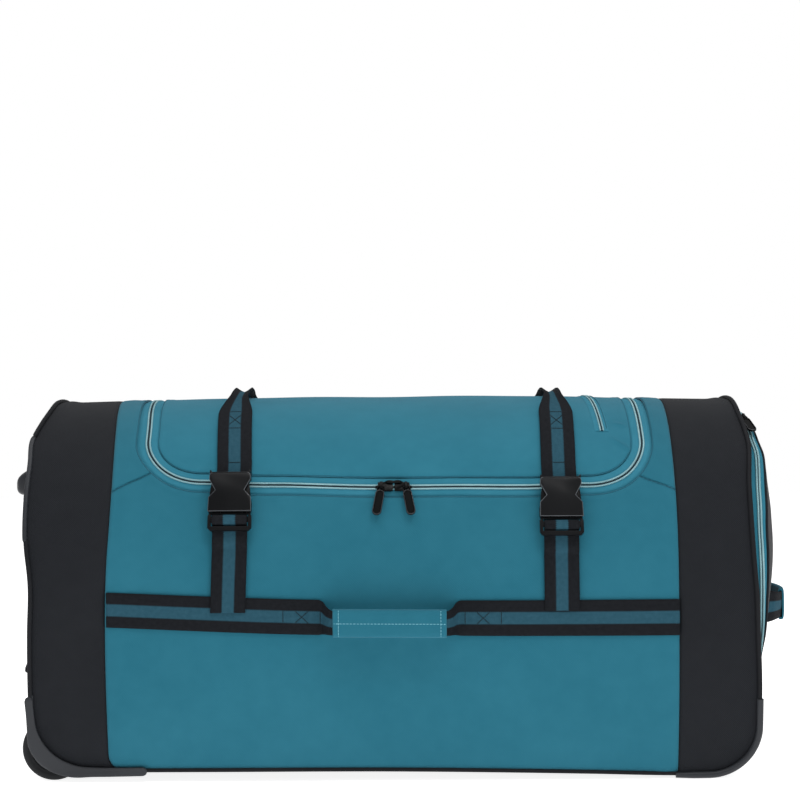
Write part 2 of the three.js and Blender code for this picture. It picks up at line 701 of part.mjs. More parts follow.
function buckleBase() {
  const [footBar, middleLow, middleHigh, topBar] = LADDER.bars;
  const frame = [
    { a: BUCKLE.half - 1.5, b: BUCKLE.split - GAP },
    { a: BUCKLE.half, b: BUCKLE.split - 4 },
    { a: BUCKLE.half, b: BUCKLE.foot + 3 },
    { a: BUCKLE.half - 3, b: BUCKLE.foot },
  ];
  let made = solid(slab(mirrored(frame), LADDER.low, LADDER.high));
  const slot = (low, high) => solid(block(-LADDER.slot, LADDER.slot, low, high, 0, BUCKLE.thick));
  made = made.subtract(slot(footBar, middleLow)).subtract(slot(middleHigh, topBar));
  for (const side of [-1, 1]) {
    const arm = [
      { a: PRONG.inner, b: BUCKLE.split - 1 },
      { a: PRONG.outer, b: BUCKLE.split - 1 },
      { a: PRONG.outer, b: PRONG.from },
      { a: PRONG.button, b: PRONG.from },
      { a: PRONG.button - 0.8, b: PRONG.to - 1 },
      { a: PRONG.button - 4, b: PRONG.tip },
      { a: PRONG.inner, b: PRONG.tip },
    ].map(({ a, b }) => ({ a: side * a, b }));
    made = made.add(solid(slab(arm, BUCKLE.skin + GAP, LADDER.high - 0.2)));
  }
  return geometryOf(made);
}

function straps() {
  for (const buckle of BUCKLES) {
    const frame = buckleFrame(buckle);
    add(`strap_lower_${buckle.name}`, lowerStrap(buckle), WEBBING);
    add(`strap_upper_${buckle.name}`, upperStrap(buckle), WEBBING);
    add(`buckle_top_${buckle.name}`, buckleTop().applyMatrix4(frame), BUCKLE_BLACK);
    add(`buckle_base_${buckle.name}`, buckleBase().applyMatrix4(frame), BUCKLE_BLACK);
  }
}

// End pocket: its outline follows the end's edge, inset from it
const POCKET_S = girthAt(END_X.right, POCKET.z);
const pocketOutline = (s, inset) => onSkin(END_X.right, s, -inset);
const POCKET_TOP = pocketOutline(HALF_GIRTH, POCKET.inset + POCKET.flare).z;
const pocketHeight = (s) => {
  const { z } = skin(END_X.right, s);
  const up = THREE.MathUtils.smoothstep(z, POCKET.z, POCKET.z + POCKET.rise);
  return mix(POCKET.low, POCKET.high, up);
};
const pocketBulge = (z) => {
  const middle = (POCKET.z + POCKET_TOP) / 2;
  const off = (z - middle) / (POCKET_TOP - middle);
  return POCKET.bulge * Math.max(1 - off * off, 0);
};

// Outer face of the pocket's front at y and z.
function pocketFront(y, z) {
  const s = girthAt(END_X.right, z);
  const edgeY = pocketOutline(s, POCKET.inset + POCKET.flare).y;
  const across = 1 - Math.min((y / edgeY) ** 2, 1);
  return END_X.right + pocketHeight(s) + 2 * GAP + CLOTH + pocketBulge(z) * across;
}

function endPocket() {
  const rows = rowsBetween(POCKET_S, GIRTH - POCKET_S);
  const wall = (s, share, out) => {
    const at = pocketOutline(s, POCKET.inset + POCKET.flare * share);
    at.addScaledVector(skinNormal(END_X.right, s), out);
    at.x = END_X.right + GAP + pocketHeight(s) * share;
    return at;
  };
  const coilLow = 0.5 - POCKET_COIL.share / 2;
  const coilHigh = 0.5 + POCKET_COIL.share / 2;
  const shares = [0, coilLow, coilHigh, 1];
  const band = sheet(rows.length - 1, 3, (i, j, k) => wall(rows[i], shares[j], k ? 0 : -POCKET.wall));
  add("end_pocket_zip_band", band, ZIP_TAPE);
  const coil = sheet(rows.length - 1, 1, (i, j, k) =>
    wall(rows[i], j ? coilHigh : coilLow, k ? POCKET_COIL.high : POCKET_COIL.low),
  );
  add("end_pocket_zip_coil", coil, COIL);

  const frontRows = rowsBetween(POCKET_S, HALF_GIRTH);
  const steps = 6;
  const front = sheet(steps, frontRows.length - 1, (i, j, k) => {
    const at = pocketOutline(frontRows[j], POCKET.inset + POCKET.flare);
    const u = 1 - (2 * i) / steps;
    const height = pocketHeight(frontRows[j]) + pocketBulge(at.z) * (1 - u * u);
    at.x = END_X.right + 2 * GAP + height + k * CLOTH;
    at.y *= u;
    return at;
  });
  add("end_pocket_panel", front, BLACK);

  const s = girthAt(END_X.right, POCKET_SLIDER_Z);
  const a = wall(s, 1, 0).sub(wall(s, 0, 0)).normalize();
  const b = wall(s + 1, 0.5, 0).sub(wall(s - 1, 0.5, 0)).normalize();
  const c = new THREE.Vector3().crossVectors(a, b).normalize();
  b.crossVectors(c, a);
  const frame = new THREE.Matrix4().makeBasis(a, b, c).setPosition(wall(s, 0.5, POCKET_COIL.high));
  const slider = sliderShape(-SLIDER.half, SLIDER.half);
  add("end_pocket_slider", slider.applyMatrix4(frame), DARK_METAL);
  add("end_pocket_pull", pullShape().applyMatrix4(frame), DARK_METAL);
}

function endHandle() {
  const { z, tab, start, grip } = END_HANDLE;
  const loop = [{ y: start, share: 0 }, ...END_LOOP, { y: 0, share: 1 }];
  const ys = [tab, (tab + start) / 2, start, ...END_LOOP.map(({ y }) => y)];
  const all = [...ys.map((y) => -y), 0, ...[...ys].reverse()];
  const point = (y, w, out) => {
    const off = Math.abs(y);
    const rising = [...loop].reverse();
    const share = off >= start ? 0 : read(rising, "y", "share", off);
    const flat = pocketFront(y, z + w) + GAP + 0.3;
    const x = mix(flat, END_HANDLE.x, share) + out;
    return new THREE.Vector3(x, y, z + w);
  };
  const web = sheet(all.length - 1, 2, (i, j, k) => point(all[i], (j - 1) * WEB.half, k * WEB.thick));
  add("end_handle", web, WEBBING);

  const stops = all.filter((y) => Math.abs(y) <= grip);
  const through = [-grip - 2, ...stops, grip + 2];
  const sleeve = (grow, places) =>
    solid(
      sheet(places.length - 1, 2, (i, j, k) => {
        const at = point(places[i], (j - 1) * (WEB.half + grow), 0);
        at.x += k ? WEB.thick + grow : -grow;
        return at;
      }),
    );
  add("end_handle_grip", geometryOf(sleeve(2.4, stops).subtract(sleeve(GAP, through))), TEAL);
}

// Wheels with their moulded corners at the left end; side is -1 for the near one
function wheelShapes() {
  const { r, rim, half, shoulder, bore, sides } = WHEEL;
  const lathe = (profile) => {
    const points = profile.map(([radius, y]) => new THREE.Vector2(radius, y));
    return closed(new THREE.LatheGeometry(points, sides));
  };
  const tyre = lathe([
    [rim, -half],
    [r - shoulder, -half],
    [r, -half + shoulder],
    [r, half - shoulder],
    [r - shoulder, half],
    [rim, half],
    [rim, -half],
  ]);
  const face = half - 1;
  const hub = lathe([
    [bore, -face],
    [rim - GAP, -face],
    [rim - GAP, face],
    [bore, face],
    [bore, -face],
  ]);
  return { tyre, hub };
}

// The corner's side outline grown outwards, as a solid from y0 to y1.
function cornerPrism(y0, y1) {
  const path = cornerPath(-1, GUARD.x, GUARD.z, GUARD.arcs);
  const outline = path.map(({ x, z, e }) => ({ a: x + e.x * GUARD.outside, b: z + e.z * GUARD.outside }));
  outline.push({ a: GUARD.x, b: GUARD.z });
  const made = slab(outline, y0, y1);
  return bend(made, (a, b, c) => new THREE.Vector3(a, c, b));
}

function wheelHousing(side) {
  const path = cornerPath(-1, GUARD.x, GUARD.z, GUARD.arcs);
  const last = path.length - 1;
  const step = (i) => (i ? Math.hypot(path[i].x - path[i - 1].x, path[i].z - path[i - 1].z) : 0);
  const runs = path.map((_, i) => path.slice(0, i + 1).reduce((sum, __, n) => sum + step(n), 0));
  const reaches = (i) => [-read(GUARD_INSIDE, "at", "inside", runs[i] / runs[last]), 0, GUARD.outside];
  const flange = sheet(last, 2, (i, j, k) => {
    const { x, z, e } = path[i];
    const short = i === 0 || i === last ? 0.4 : 1;
    const d = reaches(i)[j] * short;
    const out = halfWidth(x + Math.min(d, 0) * e.x, z + Math.min(d, 0) * e.z);
    const y = out + (k ? GUARD.high : GUARD.low);
    return new THREE.Vector3(x + d * e.x, side * y, z + d * e.z);
  });
  const shell = sheet(last, 1, (i, j, k) => {
    const { x, z, e } = path[i];
    const d = k ? GUARD.outside * (i === 0 || i === last ? 0.4 : 1) : GUARD.low;
    const y = j ? GUARD.inboard : halfWidth(x, z) + GUARD.high;
    return new THREE.Vector3(x + d * e.x, side * y, z + d * e.z);
  });
  const cup = solid(wellDrum(side, WELL.r + WELL.wall, WELL.half + WELL.wall));
  const y0 = Math.min(side * 60, side * 200);
  const inside = cup.intersect(solid(cornerPrism(y0, y0 + 140)));
  const bore = solid(wellDrum(side, WHEEL.bore, 2 * WELL.half));
  const well = solid(wellDrum(side, WELL.r, WELL.half));
  return geometryOf(solid(flange).add(solid(shell)).add(inside).subtract(well).subtract(bore));
}

function wellDrum(side, r, half) {
  return drum(WHEEL.x, WHEEL.r, r, side * WHEEL.y - half, side * WHEEL.y + half, WHEEL.sides);
}

function wheels() {
  for (const [name, side] of [["near", -1], ["far", 1]]) {
    const { tyre, hub } = wheelShapes();
    const at = [WHEEL.x, side * WHEEL.y, WHEEL.r];
    add(`wheel_housing_${name}`, wheelHousing(side), PLASTIC);
    add(`wheel_axle_${name}`, wellDrum(side, AXLE_R, WELL.half + WELL.wall - GAP), STEEL);
    add(`wheel_${name}_tyre`, tyre.translate(...at), RUBBER);
    add(`wheel_${name}_hub`, hub.translate(...at), PLASTIC);
  }
}

// Cloth or board with the wheel wells cut out of it.
function withoutWells(geometry) {
  let made = solid(geometry);
  for (const side of [-1, 1]) {
    const room = wellDrum(side, WELL.r + WELL.wall + GAP, WELL.half + WELL.wall + GAP);
    made = made.subtract(solid(room));
  }
  return geometryOf(made);
}

function footPlate(side) {
  const steps = 4;
  const outline = [];
  for (let i = 0; i <= steps; i += 1) {
    const z = mix(PLATE.from, PLATE.to, i / steps);
    const y = -skin(-END_X.left, girthAt(-END_X.left, z)).y - PLATE.inset;
    outline.push({ a: side * y, b: z });
  }
  outline.push({ a: side * PLATE.innerHigh, b: PLATE.to }, { a: side * PLATE.innerLow, b: PLATE.from });
  const face = END_X.left + GAP;
  const plate = bend(slab(outline, 0, PLATE.thick), (a, b, c) => new THREE.Vector3(-face - c, a, b));
  const wedge = [
    { a: -face - PLATE.thick + 1, b: FOOT.low },
    { a: FOOT.tip, b: FOOT.flatLow },
    { a: FOOT.tip, b: FOOT.flatHigh },
    { a: -face - PLATE.thick + 1, b: FOOT.high },
  ];
  const y0 = Math.min(side * FOOT.yNear, side * FOOT.yFar);
  const depth = Math.abs(FOOT.yNear - FOOT.yFar);
  const foot = bend(slab(wedge, y0, y0 + depth), (a, b, c) => new THREE.Vector3(a, c, b));
  return geometryOf(solid(plate).add(solid(foot)));
}

function cornerGuard(side) {
  const u = new THREE.Vector3(0, side, 0);
  const path = cornerPath(1, SKID.x, SKID.z, SKID.arcs).map(({ x, z, e }) => {
    const p = new THREE.Vector3(x, side * halfWidth(x, z), z);
    p.addScaledVector(u, SKID.out).addScaledVector(e, SKID.out);
    return { p, u, v: e };
  });
  const r = SKID.flat / Math.cos(Math.PI / 8);
  return bar(path, r, r, 8);
}

sidePanels();
lidFlap();
wraps();
add("left_end_panel", withoutWells(endPanel(-1)), BLACK);
add("right_end_panel", endPanel(1), BLACK);
add("base_panel", withoutWells(basePanel()), BLACK);
piping();
mainZip();
lidZip();
nearWebbing();
farWebbing();
straps();
endPocket();
endHandle();
wheels();
for (const [name, side] of [["near", -1], ["far", 1]]) {
  add(`foot_plate_${name}`, footPlate(side), PLASTIC);
  add(`corner_guard_${name}`, cornerGuard(side), PLASTIC);
}

export default root;
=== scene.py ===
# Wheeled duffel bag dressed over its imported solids.
# Sizes are in millimetres in the bag's own frame: X along the bag with the wheels at -X,
# the near side at -Y and Z up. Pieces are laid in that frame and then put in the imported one.
# A place on the skin is x along the bag and s along the girth, from the near base edge over the
# crown. The u and v of a laid grid run from 0 to 1.
import math

import bmesh
import bpy
import numpy as np
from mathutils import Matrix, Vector


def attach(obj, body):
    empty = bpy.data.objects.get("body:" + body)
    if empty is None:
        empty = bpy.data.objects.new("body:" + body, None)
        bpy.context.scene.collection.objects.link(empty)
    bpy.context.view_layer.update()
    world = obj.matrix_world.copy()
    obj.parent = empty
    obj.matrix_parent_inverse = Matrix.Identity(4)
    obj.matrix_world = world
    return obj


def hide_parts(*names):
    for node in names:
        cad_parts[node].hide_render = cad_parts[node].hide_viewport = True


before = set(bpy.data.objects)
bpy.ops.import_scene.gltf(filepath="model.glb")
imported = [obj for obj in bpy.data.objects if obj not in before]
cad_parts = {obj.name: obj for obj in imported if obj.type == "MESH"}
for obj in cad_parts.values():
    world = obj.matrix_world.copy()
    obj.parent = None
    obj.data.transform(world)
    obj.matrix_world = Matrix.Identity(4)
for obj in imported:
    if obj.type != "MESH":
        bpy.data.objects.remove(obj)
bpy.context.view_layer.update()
FRAME_SHIFT = np.array([20.7, -14.76, 0.0])
METRE = 1000
ALONG = np.array([1.0, 0.0, 0.0])
ENDS = {"left": -1, "right": 1}
SIDES = {"near": -1, "far": 1}
WELD = 2e-6
TUBE_WELD = 1e-7

# Body
STATIONS = {
    "x": [-383, -301, -204, 0, 204, 301, 377],
    "base": [14, 14, 14, 13.5, 9.5, 6.7, 6.7],
    "top": [403, 405, 406.5, 408, 406.5, 404, 402.5],
    "half": [188, 192, 194.5, 196, 194.5, 192, 188],
}
MIDDLE = {column: values[STATIONS["x"].index(0)] for column, values in STATIONS.items()}
END_X = {-1: 383, 1: 377}
END_OUT = {
    -1: {
        "z": [0, 160, 212, 255, 300, 340, 364, 380, 393, 405],
        "out": [0, 0, -1, 4, 5, 4.2, 5.2, 0, -4.5, -5.5],
    },
    1: {
        "z": [0, 108, 150, 193, 240, 280, 318, 335, 353, 370, 386, 405],
        "out": [4.5, 6, 4.6, 3.6, 0.6, -0.6, 0.3, 2.4, 4.4, 3, 1.2, 2],
    },
}
SEAM_X = 301
SEAM = {
    -1: {"s": [0, 226, 265, 330, 370, 430, 512], "x": [304.5, 303.5, 301.4, 300.6, 301.8, 305.4, 311]},
    1: {"s": [0, 226, 370, 430, 512], "x": [300, 300, 300, 301, 304]},
}
SEAM_CURVE = {"reach": 7, "high": 16}
WAIST_Z = 185
BASE_TUCK = 0.1
TUCK_POWER = 2.6
ARCH_POWER = 2.4
LOW_ROWS = 7
LOW_CROWDING = 1.6
HIGH_ROWS = 12
CORNER = {-1: 52, 1: 50}
CLOTH = 2
GAP = 0.4
FOLD = {"z": 121, "reach": 8.6, "over": 34, "under": 9}
BASE_BOARD = 3
WAVES = {"high": 0.45, "calm": 60}
STRAP_DIP = {"deep": 1.2, "wide": 30, "s": 290, "long": 110}
SEAM_DRAWN = {"deep": 1.6, "wide": 1.8}
SEAM_PUFF = {"in": 14, "high": 0.8, "wide": 9}
DART_DRAWN = {"deep": 0.15, "wide": 1.4}
HEM = {"in": 4.5, "high": 0.5, "wide": 3.2, "cut": 0.3, "cut_wide": 0.9}
END_RIDGE = {"in": 9, "high": 1.6, "wide": 7, "long": 70}

# Zips
ZIP = {"z": 311, "x": 268, "corner": 64, "gap": 11, "tape": 17, "slit": 0.3}
ZIP_TAPE = {"thick": 0.9, "under": 1.0, "dip": 1.3, "upper": (9.8, 1.8), "lower": (7.8, 3)}
ZIP_RISE = {
    "x": [-300, -262, -225, -205, -145, -111, -77, -50, -25, 0, 60, 140, 206, 232, 250, 300],
    "up": [0.8, 6.4, 9, 9.2, 5.2, 4.4, 2.8, 1.7, 1.1, 0.9, 0.9, 0.6, 2.8, 0.9, -1, 0],
}
ZIP_SET = {"s": [300, 340, 385, 430, 512], "in": [3, 3, 2.6, 0, -2.6]}
ZIP_CORNER = {"x": -266, "wide": 26, "edge": -300, "high": 62}
OPENING_STRAIGHT = 0.62
DART_X = 261
DART_DROP = 2
DART_SHARE = 0.08
LID_ZIP = {"x": 219.5, "z": 369, "half": 7.6, "slant": 7.5, "crown": 30, "run": 120}
LID_SLIDER = {"in": 6, "out": 2.6}
LID_CREASES = (((238, 378), (253, 373)), ((231, 364), (258, 346)))
CREASE = {"high": 1.6, "wide": 2.4}
SLIDER_X = 13
PULL_SPLAY = 10
BRIDGE = {"from": 6.5, "long": 20.4, "r": 1.6, "low": -2.2, "arch": 7.4, "up": 1.1, "step": 2.6}
PULL = {"half": 4.9, "low": 4.0, "thick": 1.8, "top": -9.6, "tip": -28.6}
EYE = {"half": 3.45, "bend": 1.95, "foot": -9, "head": -2.0, "up": 0.75, "r": 0.72}
COIL_PITCH = 2.2
# The last column of each row set is half the width of the dark ribbon of painted shade between the coil
# rows.
COIL_ROWS = {
    "main": {"offset": 1.95, "width": 1.15, "height": 1.05, "shade_half": 1.0},
    "lid": {"offset": 1.6, "width": 1.0, "height": 0.9, "shade_half": 1.0},
    "end": {"offset": 1.5, "width": 1.3, "height": 1.1, "shade_half": 0.8},
}

# Webbing, straps and buckles
WEB = {"half": 18.4, "thick": 1.6, "low": 0.8, "over": 2.8, "stripe": 6.3}
BAND = {
    "x": [-303.1, -204, -80, 0, 204, 299.6],
    "z": [185.5, 181, 176.5, 175.5, 174, 174],
}
BAND_COLUMNS = {
    "u": [0, 0.28, 0.42, 0.58, 0.72, 1],
    "x": [BAND["x"][0], -86, -48, 38, 76, BAND["x"][-1]],
}
HANDLE = {"x": -5, "start": 74, "grip": 59, "half": 12.5, "thick": 3.2, "droop": 3, "lift": 25}
HANDLE_LIFT = {"at": [0.5, 0.7, 0.78, 0.86, 0.92, 0.96, 1], "lift": [25, 25, 25, 22, 15, 6, 0]}
GRIP = {"high": 14.6, "deep": 5.6, "seam_x": 53.0, "seam_half": 13.6}
GRIP_MOUTH = {"long": 0.04, "high": 0.86, "deep": 0.55}
STRAP_X = 176
STRAP_END_Z = 182
FAR_BAND_Z = 178
LOOP = {"reach": 112, "narrow": 9.5, "edge": 5, "curl": 1.4, "fold": 105, "over": 52}
LOOP_LIFT = {"left": 3, "right": 0.6}
BUCKLE_STAND = 5.2
BUCKLE_TOP = 32
BUCKLES = {"left": (-172.5, 297), "right": (STRAP_X, 290)}
BUCKLE_DROP = 2.4
BUCKLE_FACE = [(20.6, 30.8), (21.8, 28), (21.8, 23.6), (15.4, 11.6), (22.4, 4), (22.9, -11.6)]
BUCKLE_SHOULDER = [(20.8, 1), (21.4, 8), (20.9, 15), (19.8, 20.5), (14, 20), (10, 10), (10, 1)]
BUCKLE_LUG = [(17.6, 29.6), (21, 29), (21.6, 33.6), (20.2, 34.2), (19.4, 32.2), (17.6, 32)]
BUCKLE_BAR = [(-19, 30), (19, 30), (19, 31.8), (-19, 31.8)]
BUCKLE_LAYERS = {"face": (7.4, 9.9), "shoulder": (1.6, 5.4), "lug": (1.5, 9.4), "bar": (5, 10)}
BUCKLE_ROUND = 0.6
STRAP_LEAN = {"left": -2.3, "right": 0}
STRAP_LEAN_Z = 262
UPPER_LEAN = {"left": (3.0, -0.6), "right": (-0.3, 1.8)}
UPPER_LEAN_S = 330
CROWN_LEAN = 1.8
STRAP_SEWN = {"left": 388.2, "right": 386.5}
STRAP_BOX = {"high": 17, "tail": 52, "slant": 0.75}
WEB_BOXES = ((-117.0, -78.0), (74.0, 112.0))
WEB_BOX_SLANT = 1.1
BOX_POINTS = 12
THREADING = [
    (-44, -3),
    (-34, -1.2),
    (-27.5, 0.3),
    (-24.6, 3),
    (-24.4, 6.6),
    (-22.8, 8.6),
    (-19.7, 9),
    (-16.6, 8.6),
    (-15.6, 6.5),
    (-15.6, 2.8),
]

# End pocket and end handle
POCKET = {"z": 122, "flare": 3, "fade": 20, "gusset": 1.2, "coil": 0.65, "coil_out": 1.6}
POCKET_INSET = {"z": [122, 290, 345, 409], "in": [6, 6, 11.5, 11.5]}
POCKET_BULGE = {
    "z": [122, 150, 181, 226, 265, 290, 312, 340, 370, 409],
    "out": [0, 13, 21, 27, 27, 23, 18, 11, 6, 0],
}
POCKET_HIGH = {
    "z": [122, 133, 150, 193, 234, 270, 290, 318, 353, 367, 381, 390, 402],
    "high": [2, 4, 8, 12, 16, 17.5, 19, 19.5, 17.5, 16, 16, 15.5, 13],
}
POCKET_SLIDER = {"x": 386.9, "y": -82.95, "z": 382.7, "out": 4.75}
POCKET_PULL_SPLAY = 10
END_HANDLE = {"z": 171, "tab": 98, "start": 74, "x": 439, "over": 0.3, "narrow": 4, "ahead": 1.35}
END_GRIP = {"half": 40, "high": 17.5, "deep": 3.6}
END_MOUTH = {"long": 0.05, "high": 0.88, "deep": 0.5}
END_LOOP = {"y": [0, 24, 46, 57, 66, 74], "share": [1, 0.94, 0.74, 0.55, 0.34, 0]}

# Wheels and guards
WHEEL = {"x": -365, "y": 147, "r": 34, "rim": 24, "half": 12, "bore": 4.4, "edge": 4, "steps": 56}
TREAD_GROOVE = [(0, -4.6), (1.4, -4.2), (1.4, -3.2), (0, -2.8)]
WELL = {"r": 37, "half": 13.5, "wall": 3, "clear": 1}
GUARD = {"x": -269, "z": 88, "tip": 6.0, "stand": 3.4, "half": 2.2, "flange": 1.2}
GUARD_EDGE = {
    "at": [0, 0.2, 0.36, 0.48, 0.6, 0.72, 0.83, 0.92, 1],
    "inside": [2.8, 2.6, 3.4, 5.2, 5.6, 5.2, 3.6, 2.2, 1.5],
    "outside": [6.5, 7.2, 7.8, 10, 12.6, 11.2, 6.5, 6.6, 7.6],
}
PLATE = {"from": 255, "to": 369, "inner": 70, "thick": 5.6, "over": 4.4, "ends": 12}
FOOT = {"tip": -407.5, "z": 318.5, "tip_z": 314.2, "half": 16, "y": 126, "half_y": 22, "root": 2}
FOOT_TAPER = {"high": 0.42, "wide": 0.15, "blunt": 7}
SKID = {"x": 297, "z": 86, "out": 2.4, "r": 3.6, "thin": 0.72, "rings": 14, "cap": 0.86}
PIPING = {"r": 2.6, "out": 1.6, "thin_r": 1.2, "base_r": 2, "base_out": 0.6, "base_up": 1.3}

# Stitching: the pitch of each seam and its thread's radius
STITCH = {
    "hem": (3.0, 0.32),
    "dart": (4.6, 0.34),
    "lid": (3.0, 0.34),
    "box": (2.4, 0.36),
    "grip": (3.6, 0.34),
    "grip_end": (3.4, 0.34),
}
HEM_STITCH = 0.9


# Tables and the skin
def read(table, key, column, x):
    """Smooth curve through a table's column."""
    at = np.array(table[key], float)
    values = np.array(table[column], float)
    slope = np.gradient(values, at)
    i = np.clip(np.searchsorted(at, x) - 1, 0, len(at) - 2)
    step = at[i + 1] - at[i]
    t = np.clip((x - at[i]) / step, 0, 1)
    rise = (values[i + 1] - values[i]) * (3 * t**2 - 2 * t**3)
    ease = step * (slope[i] * (t**3 - 2 * t**2 + t) + slope[i + 1] * (t**3 - t**2))
    return values[i] + rise + ease


def lengths(points):
    """Length along a line of points, up to each of them."""
    return np.concatenate([[0], np.cumsum(np.linalg.norm(np.diff(points, axis=0), axis=1))])


def section(k):
    """Half a girth at row k: its share of the half width, then of the lower and upper height."""
    up = np.clip(k / LOW_ROWS, 0, 1) ** LOW_CROWDING
    angle = np.clip((k - LOW_ROWS) / HIGH_ROWS, 0, 1) * (np.pi / 2)
    tuck = 1 - BASE_TUCK * (1 - up) ** TUCK_POWER
    arch = np.maximum(np.cos(angle), 0) ** (2 / ARCH_POWER)
    return np.where(k < LOW_ROWS, tuck, arch), up, np.sin(angle) ** (2 / ARCH_POWER)


def girth_rows():
    """Girth length at fine steps of the row number, equal to the solids' own at whole rows."""
    fine = 40
    k = np.linspace(0, LOW_ROWS + HIGH_ROWS, (LOW_ROWS + HIGH_ROWS) * fine + 1)
    share, up, high = section(k)
    half, base, top = MIDDLE["half"], MIDDLE["base"], MIDDLE["top"]
    points = np.stack([share * half, base + up * (WAIST_Z - base) + high * (top - WAIST_Z)], -1)
    run = lengths(points)
    return k, np.interp(run, run[::fine], lengths(points[::fine]))


ROW_K, ROW_S = girth_rows()
HALF_GIRTH = ROW_S[-1]
GIRTH = 2 * HALF_GIRTH


def skin(x, s):
    """Points of the bag's skin at x and at s along the girth, from the near base edge over the crown."""
    x, s = np.broadcast_arrays(np.asarray(x, float), np.asarray(s, float))
    share, up, high = section(np.interp(np.minimum(s, GIRTH - s), ROW_S, ROW_K))
    base, top, half = (read(STATIONS, "x", column, x) for column in ("base", "top", "half"))
    z = base + up * (WAIST_Z - base) + high * (top - WAIST_Z)
    return np.stack([x, np.where(s <= HALF_GIRTH, -1, 1) * share * half, z], -1)


def unit(v):
    return v / np.maximum(np.linalg.norm(v, axis=-1, keepdims=True), 1e-12)


def skin_normal(x, s):
    """The way out of the skin, from its run over a short step both ways."""
    x, s = np.broadcast_arrays(np.asarray(x, float), np.asarray(s, float))
    step = 0.5
    low = np.maximum(s - step, 0)
    high = np.minimum(s + step, GIRTH)
    return unit(np.cross(skin(x + step, s) - skin(x - step, s), skin(x, high) - skin(x, low)))


def bump(at, width):
    """A rounded rise of 1 at the middle, fading away over a width."""
    return np.exp(-((at / width) ** 2))


def squared(wave, power):
    """A wave between -1 and 1 filled out towards a square one."""
    return np.sign(wave) * np.abs(wave) ** power


def crowded(v, share):
    """Even steps from 0 to 1 drawn towards 1, or towards 0 by a negative share."""
    return v + share * v * (1 - v)


def billow(x, s):
    """Soft unevenness of the stuffed cloth: dips under the straps and slow waves between them."""
    near = np.minimum(s, GIRTH - s)
    waves = np.sin(x / 41 + near / 63) * np.sin(near / 52 + 0.7) + 0.6 * np.sin(x / 23 - near / 37)
    calm = np.clip((SEAM_X - np.abs(x)) / WAVES["calm"], 0, 1) * np.clip(near / WAVES["calm"], 0, 1)
    dips = STRAP_DIP["deep"] * bump(np.abs(x) - STRAP_X, STRAP_DIP["wide"])
    dips = dips * bump(near - STRAP_DIP["s"], STRAP_DIP["long"])
    return WAVES["high"] * waves * calm - dips * calm


def on_skin(x, s, out):
    """Points of the stuffed cloth, out from the skin."""
    lift = np.asarray(out + billow(x, s), float)
    return skin(x, s) + skin_normal(x, s) * lift[..., None]


def girth_at(x, z):
    """Place along the near half of the girth that lies at height z."""
    x, z = np.broadcast_arrays(np.asarray(x, float), np.asarray(z, float))
    low = np.zeros(x.shape)
    high = low + HALF_GIRTH
    for _ in range(40):
        middle = (low + high) / 2
        under = skin(x, middle)[..., 2] < z
        low = np.where(under, middle, low)
        high = np.where(under, high, middle)
    return (low + high) / 2


ZIP_S = float(girth_at(0, ZIP["z"]))
HINGE_S = GIRTH - ZIP_S
ARC_X = ZIP["x"] - ZIP["corner"]
ARC_S = ZIP_S + ZIP["corner"]
DART_TOP = ARC_S - math.sqrt((ZIP["corner"] + ZIP["gap"]) ** 2 - (DART_X - ARC_X) ** 2)
DART_END = ZIP_S - DART_DROP


def from_zip(x, s):
    """Distance outside the main zip's line."""
    over = np.abs(x) - ARC_X
    under = ARC_S - s
    corner = np.hypot(np.maximum(over, 0), np.maximum(under, 0)) - ZIP["corner"]
    return np.where(under < 0, over - ZIP["corner"], np.where(over < 0, under - ZIP["corner"], corner))


def from_dart(x, s):
    """Distance from the dart seam at a top corner of the side."""
    a = np.array([DART_X, DART_TOP])
    way = np.array([SEAM_X, DART_END]) - a
    px = np.abs(x) - a[0]
    ps = s - a[1]
    t = np.clip((px * way[0] + ps * way[1]) / way.dot(way), 0, 1)
    return np.hypot(px - t * way[0], ps - t * way[1])


def settled(x, s):
    """Where a point of the cut pattern lies: the zip's left corner sits higher and further in."""
    up = read(ZIP_RISE, "x", "up", x) * bump(s - ZIP_S, ZIP_CORNER["high"])
    near = np.minimum(s, GIRTH - s)
    fade = np.clip((x - ZIP_CORNER["edge"]) / ZIP_CORNER["wide"], 0, 1)
    beside = bump(x - ZIP_CORNER["x"], ZIP_CORNER["wide"]) * fade
    return x + read(ZIP_SET, "s", "in", near) * beside, s + up


def seam_at(x, s):
    """Where the black ends' seams lie: the left one curves inwards at the base."""
    near = np.minimum(s, GIRTH - s)
    low = np.clip(1 - near / SEAM_CURVE["high"], 0, 1) ** 2
    left = read(SEAM[-1], "s", "x", near) - SEAM_CURVE["reach"] * low
    return np.where(np.asarray(x) < 0, left, read(SEAM[1], "s", "x", near))


def seams(x, s):
    """How far the panels' cloth is drawn in along its seams and rolled at its hems."""
    off = np.abs(x) - seam_at(x, s)
    drawn = -SEAM_DRAWN["deep"] * bump(off, SEAM_DRAWN["wide"])
    drawn = drawn - DART_DRAWN["deep"] * bump(from_dart(x, s), DART_DRAWN["wide"])
    edge = np.abs(from_zip(x, s)) - ZIP["gap"]
    hem = HEM["high"] * bump(edge - HEM["in"], HEM["wide"]) - HEM["cut"] * bump(edge, HEM["cut_wide"])
    return drawn + hem + SEAM_PUFF["high"] * bump(off + SEAM_PUFF["in"], SEAM_PUFF["wide"])


def base_of(side):
    """Height of the base at an end."""
    return float(read(STATIONS, "x", "base", np.array(float(side * END_X[side]))))


def end_reach(side, z):
    """How far an end's edge lies from the middle of the bag at height z."""
    return END_X[side] + read(END_OUT[side], "z", "out", z)


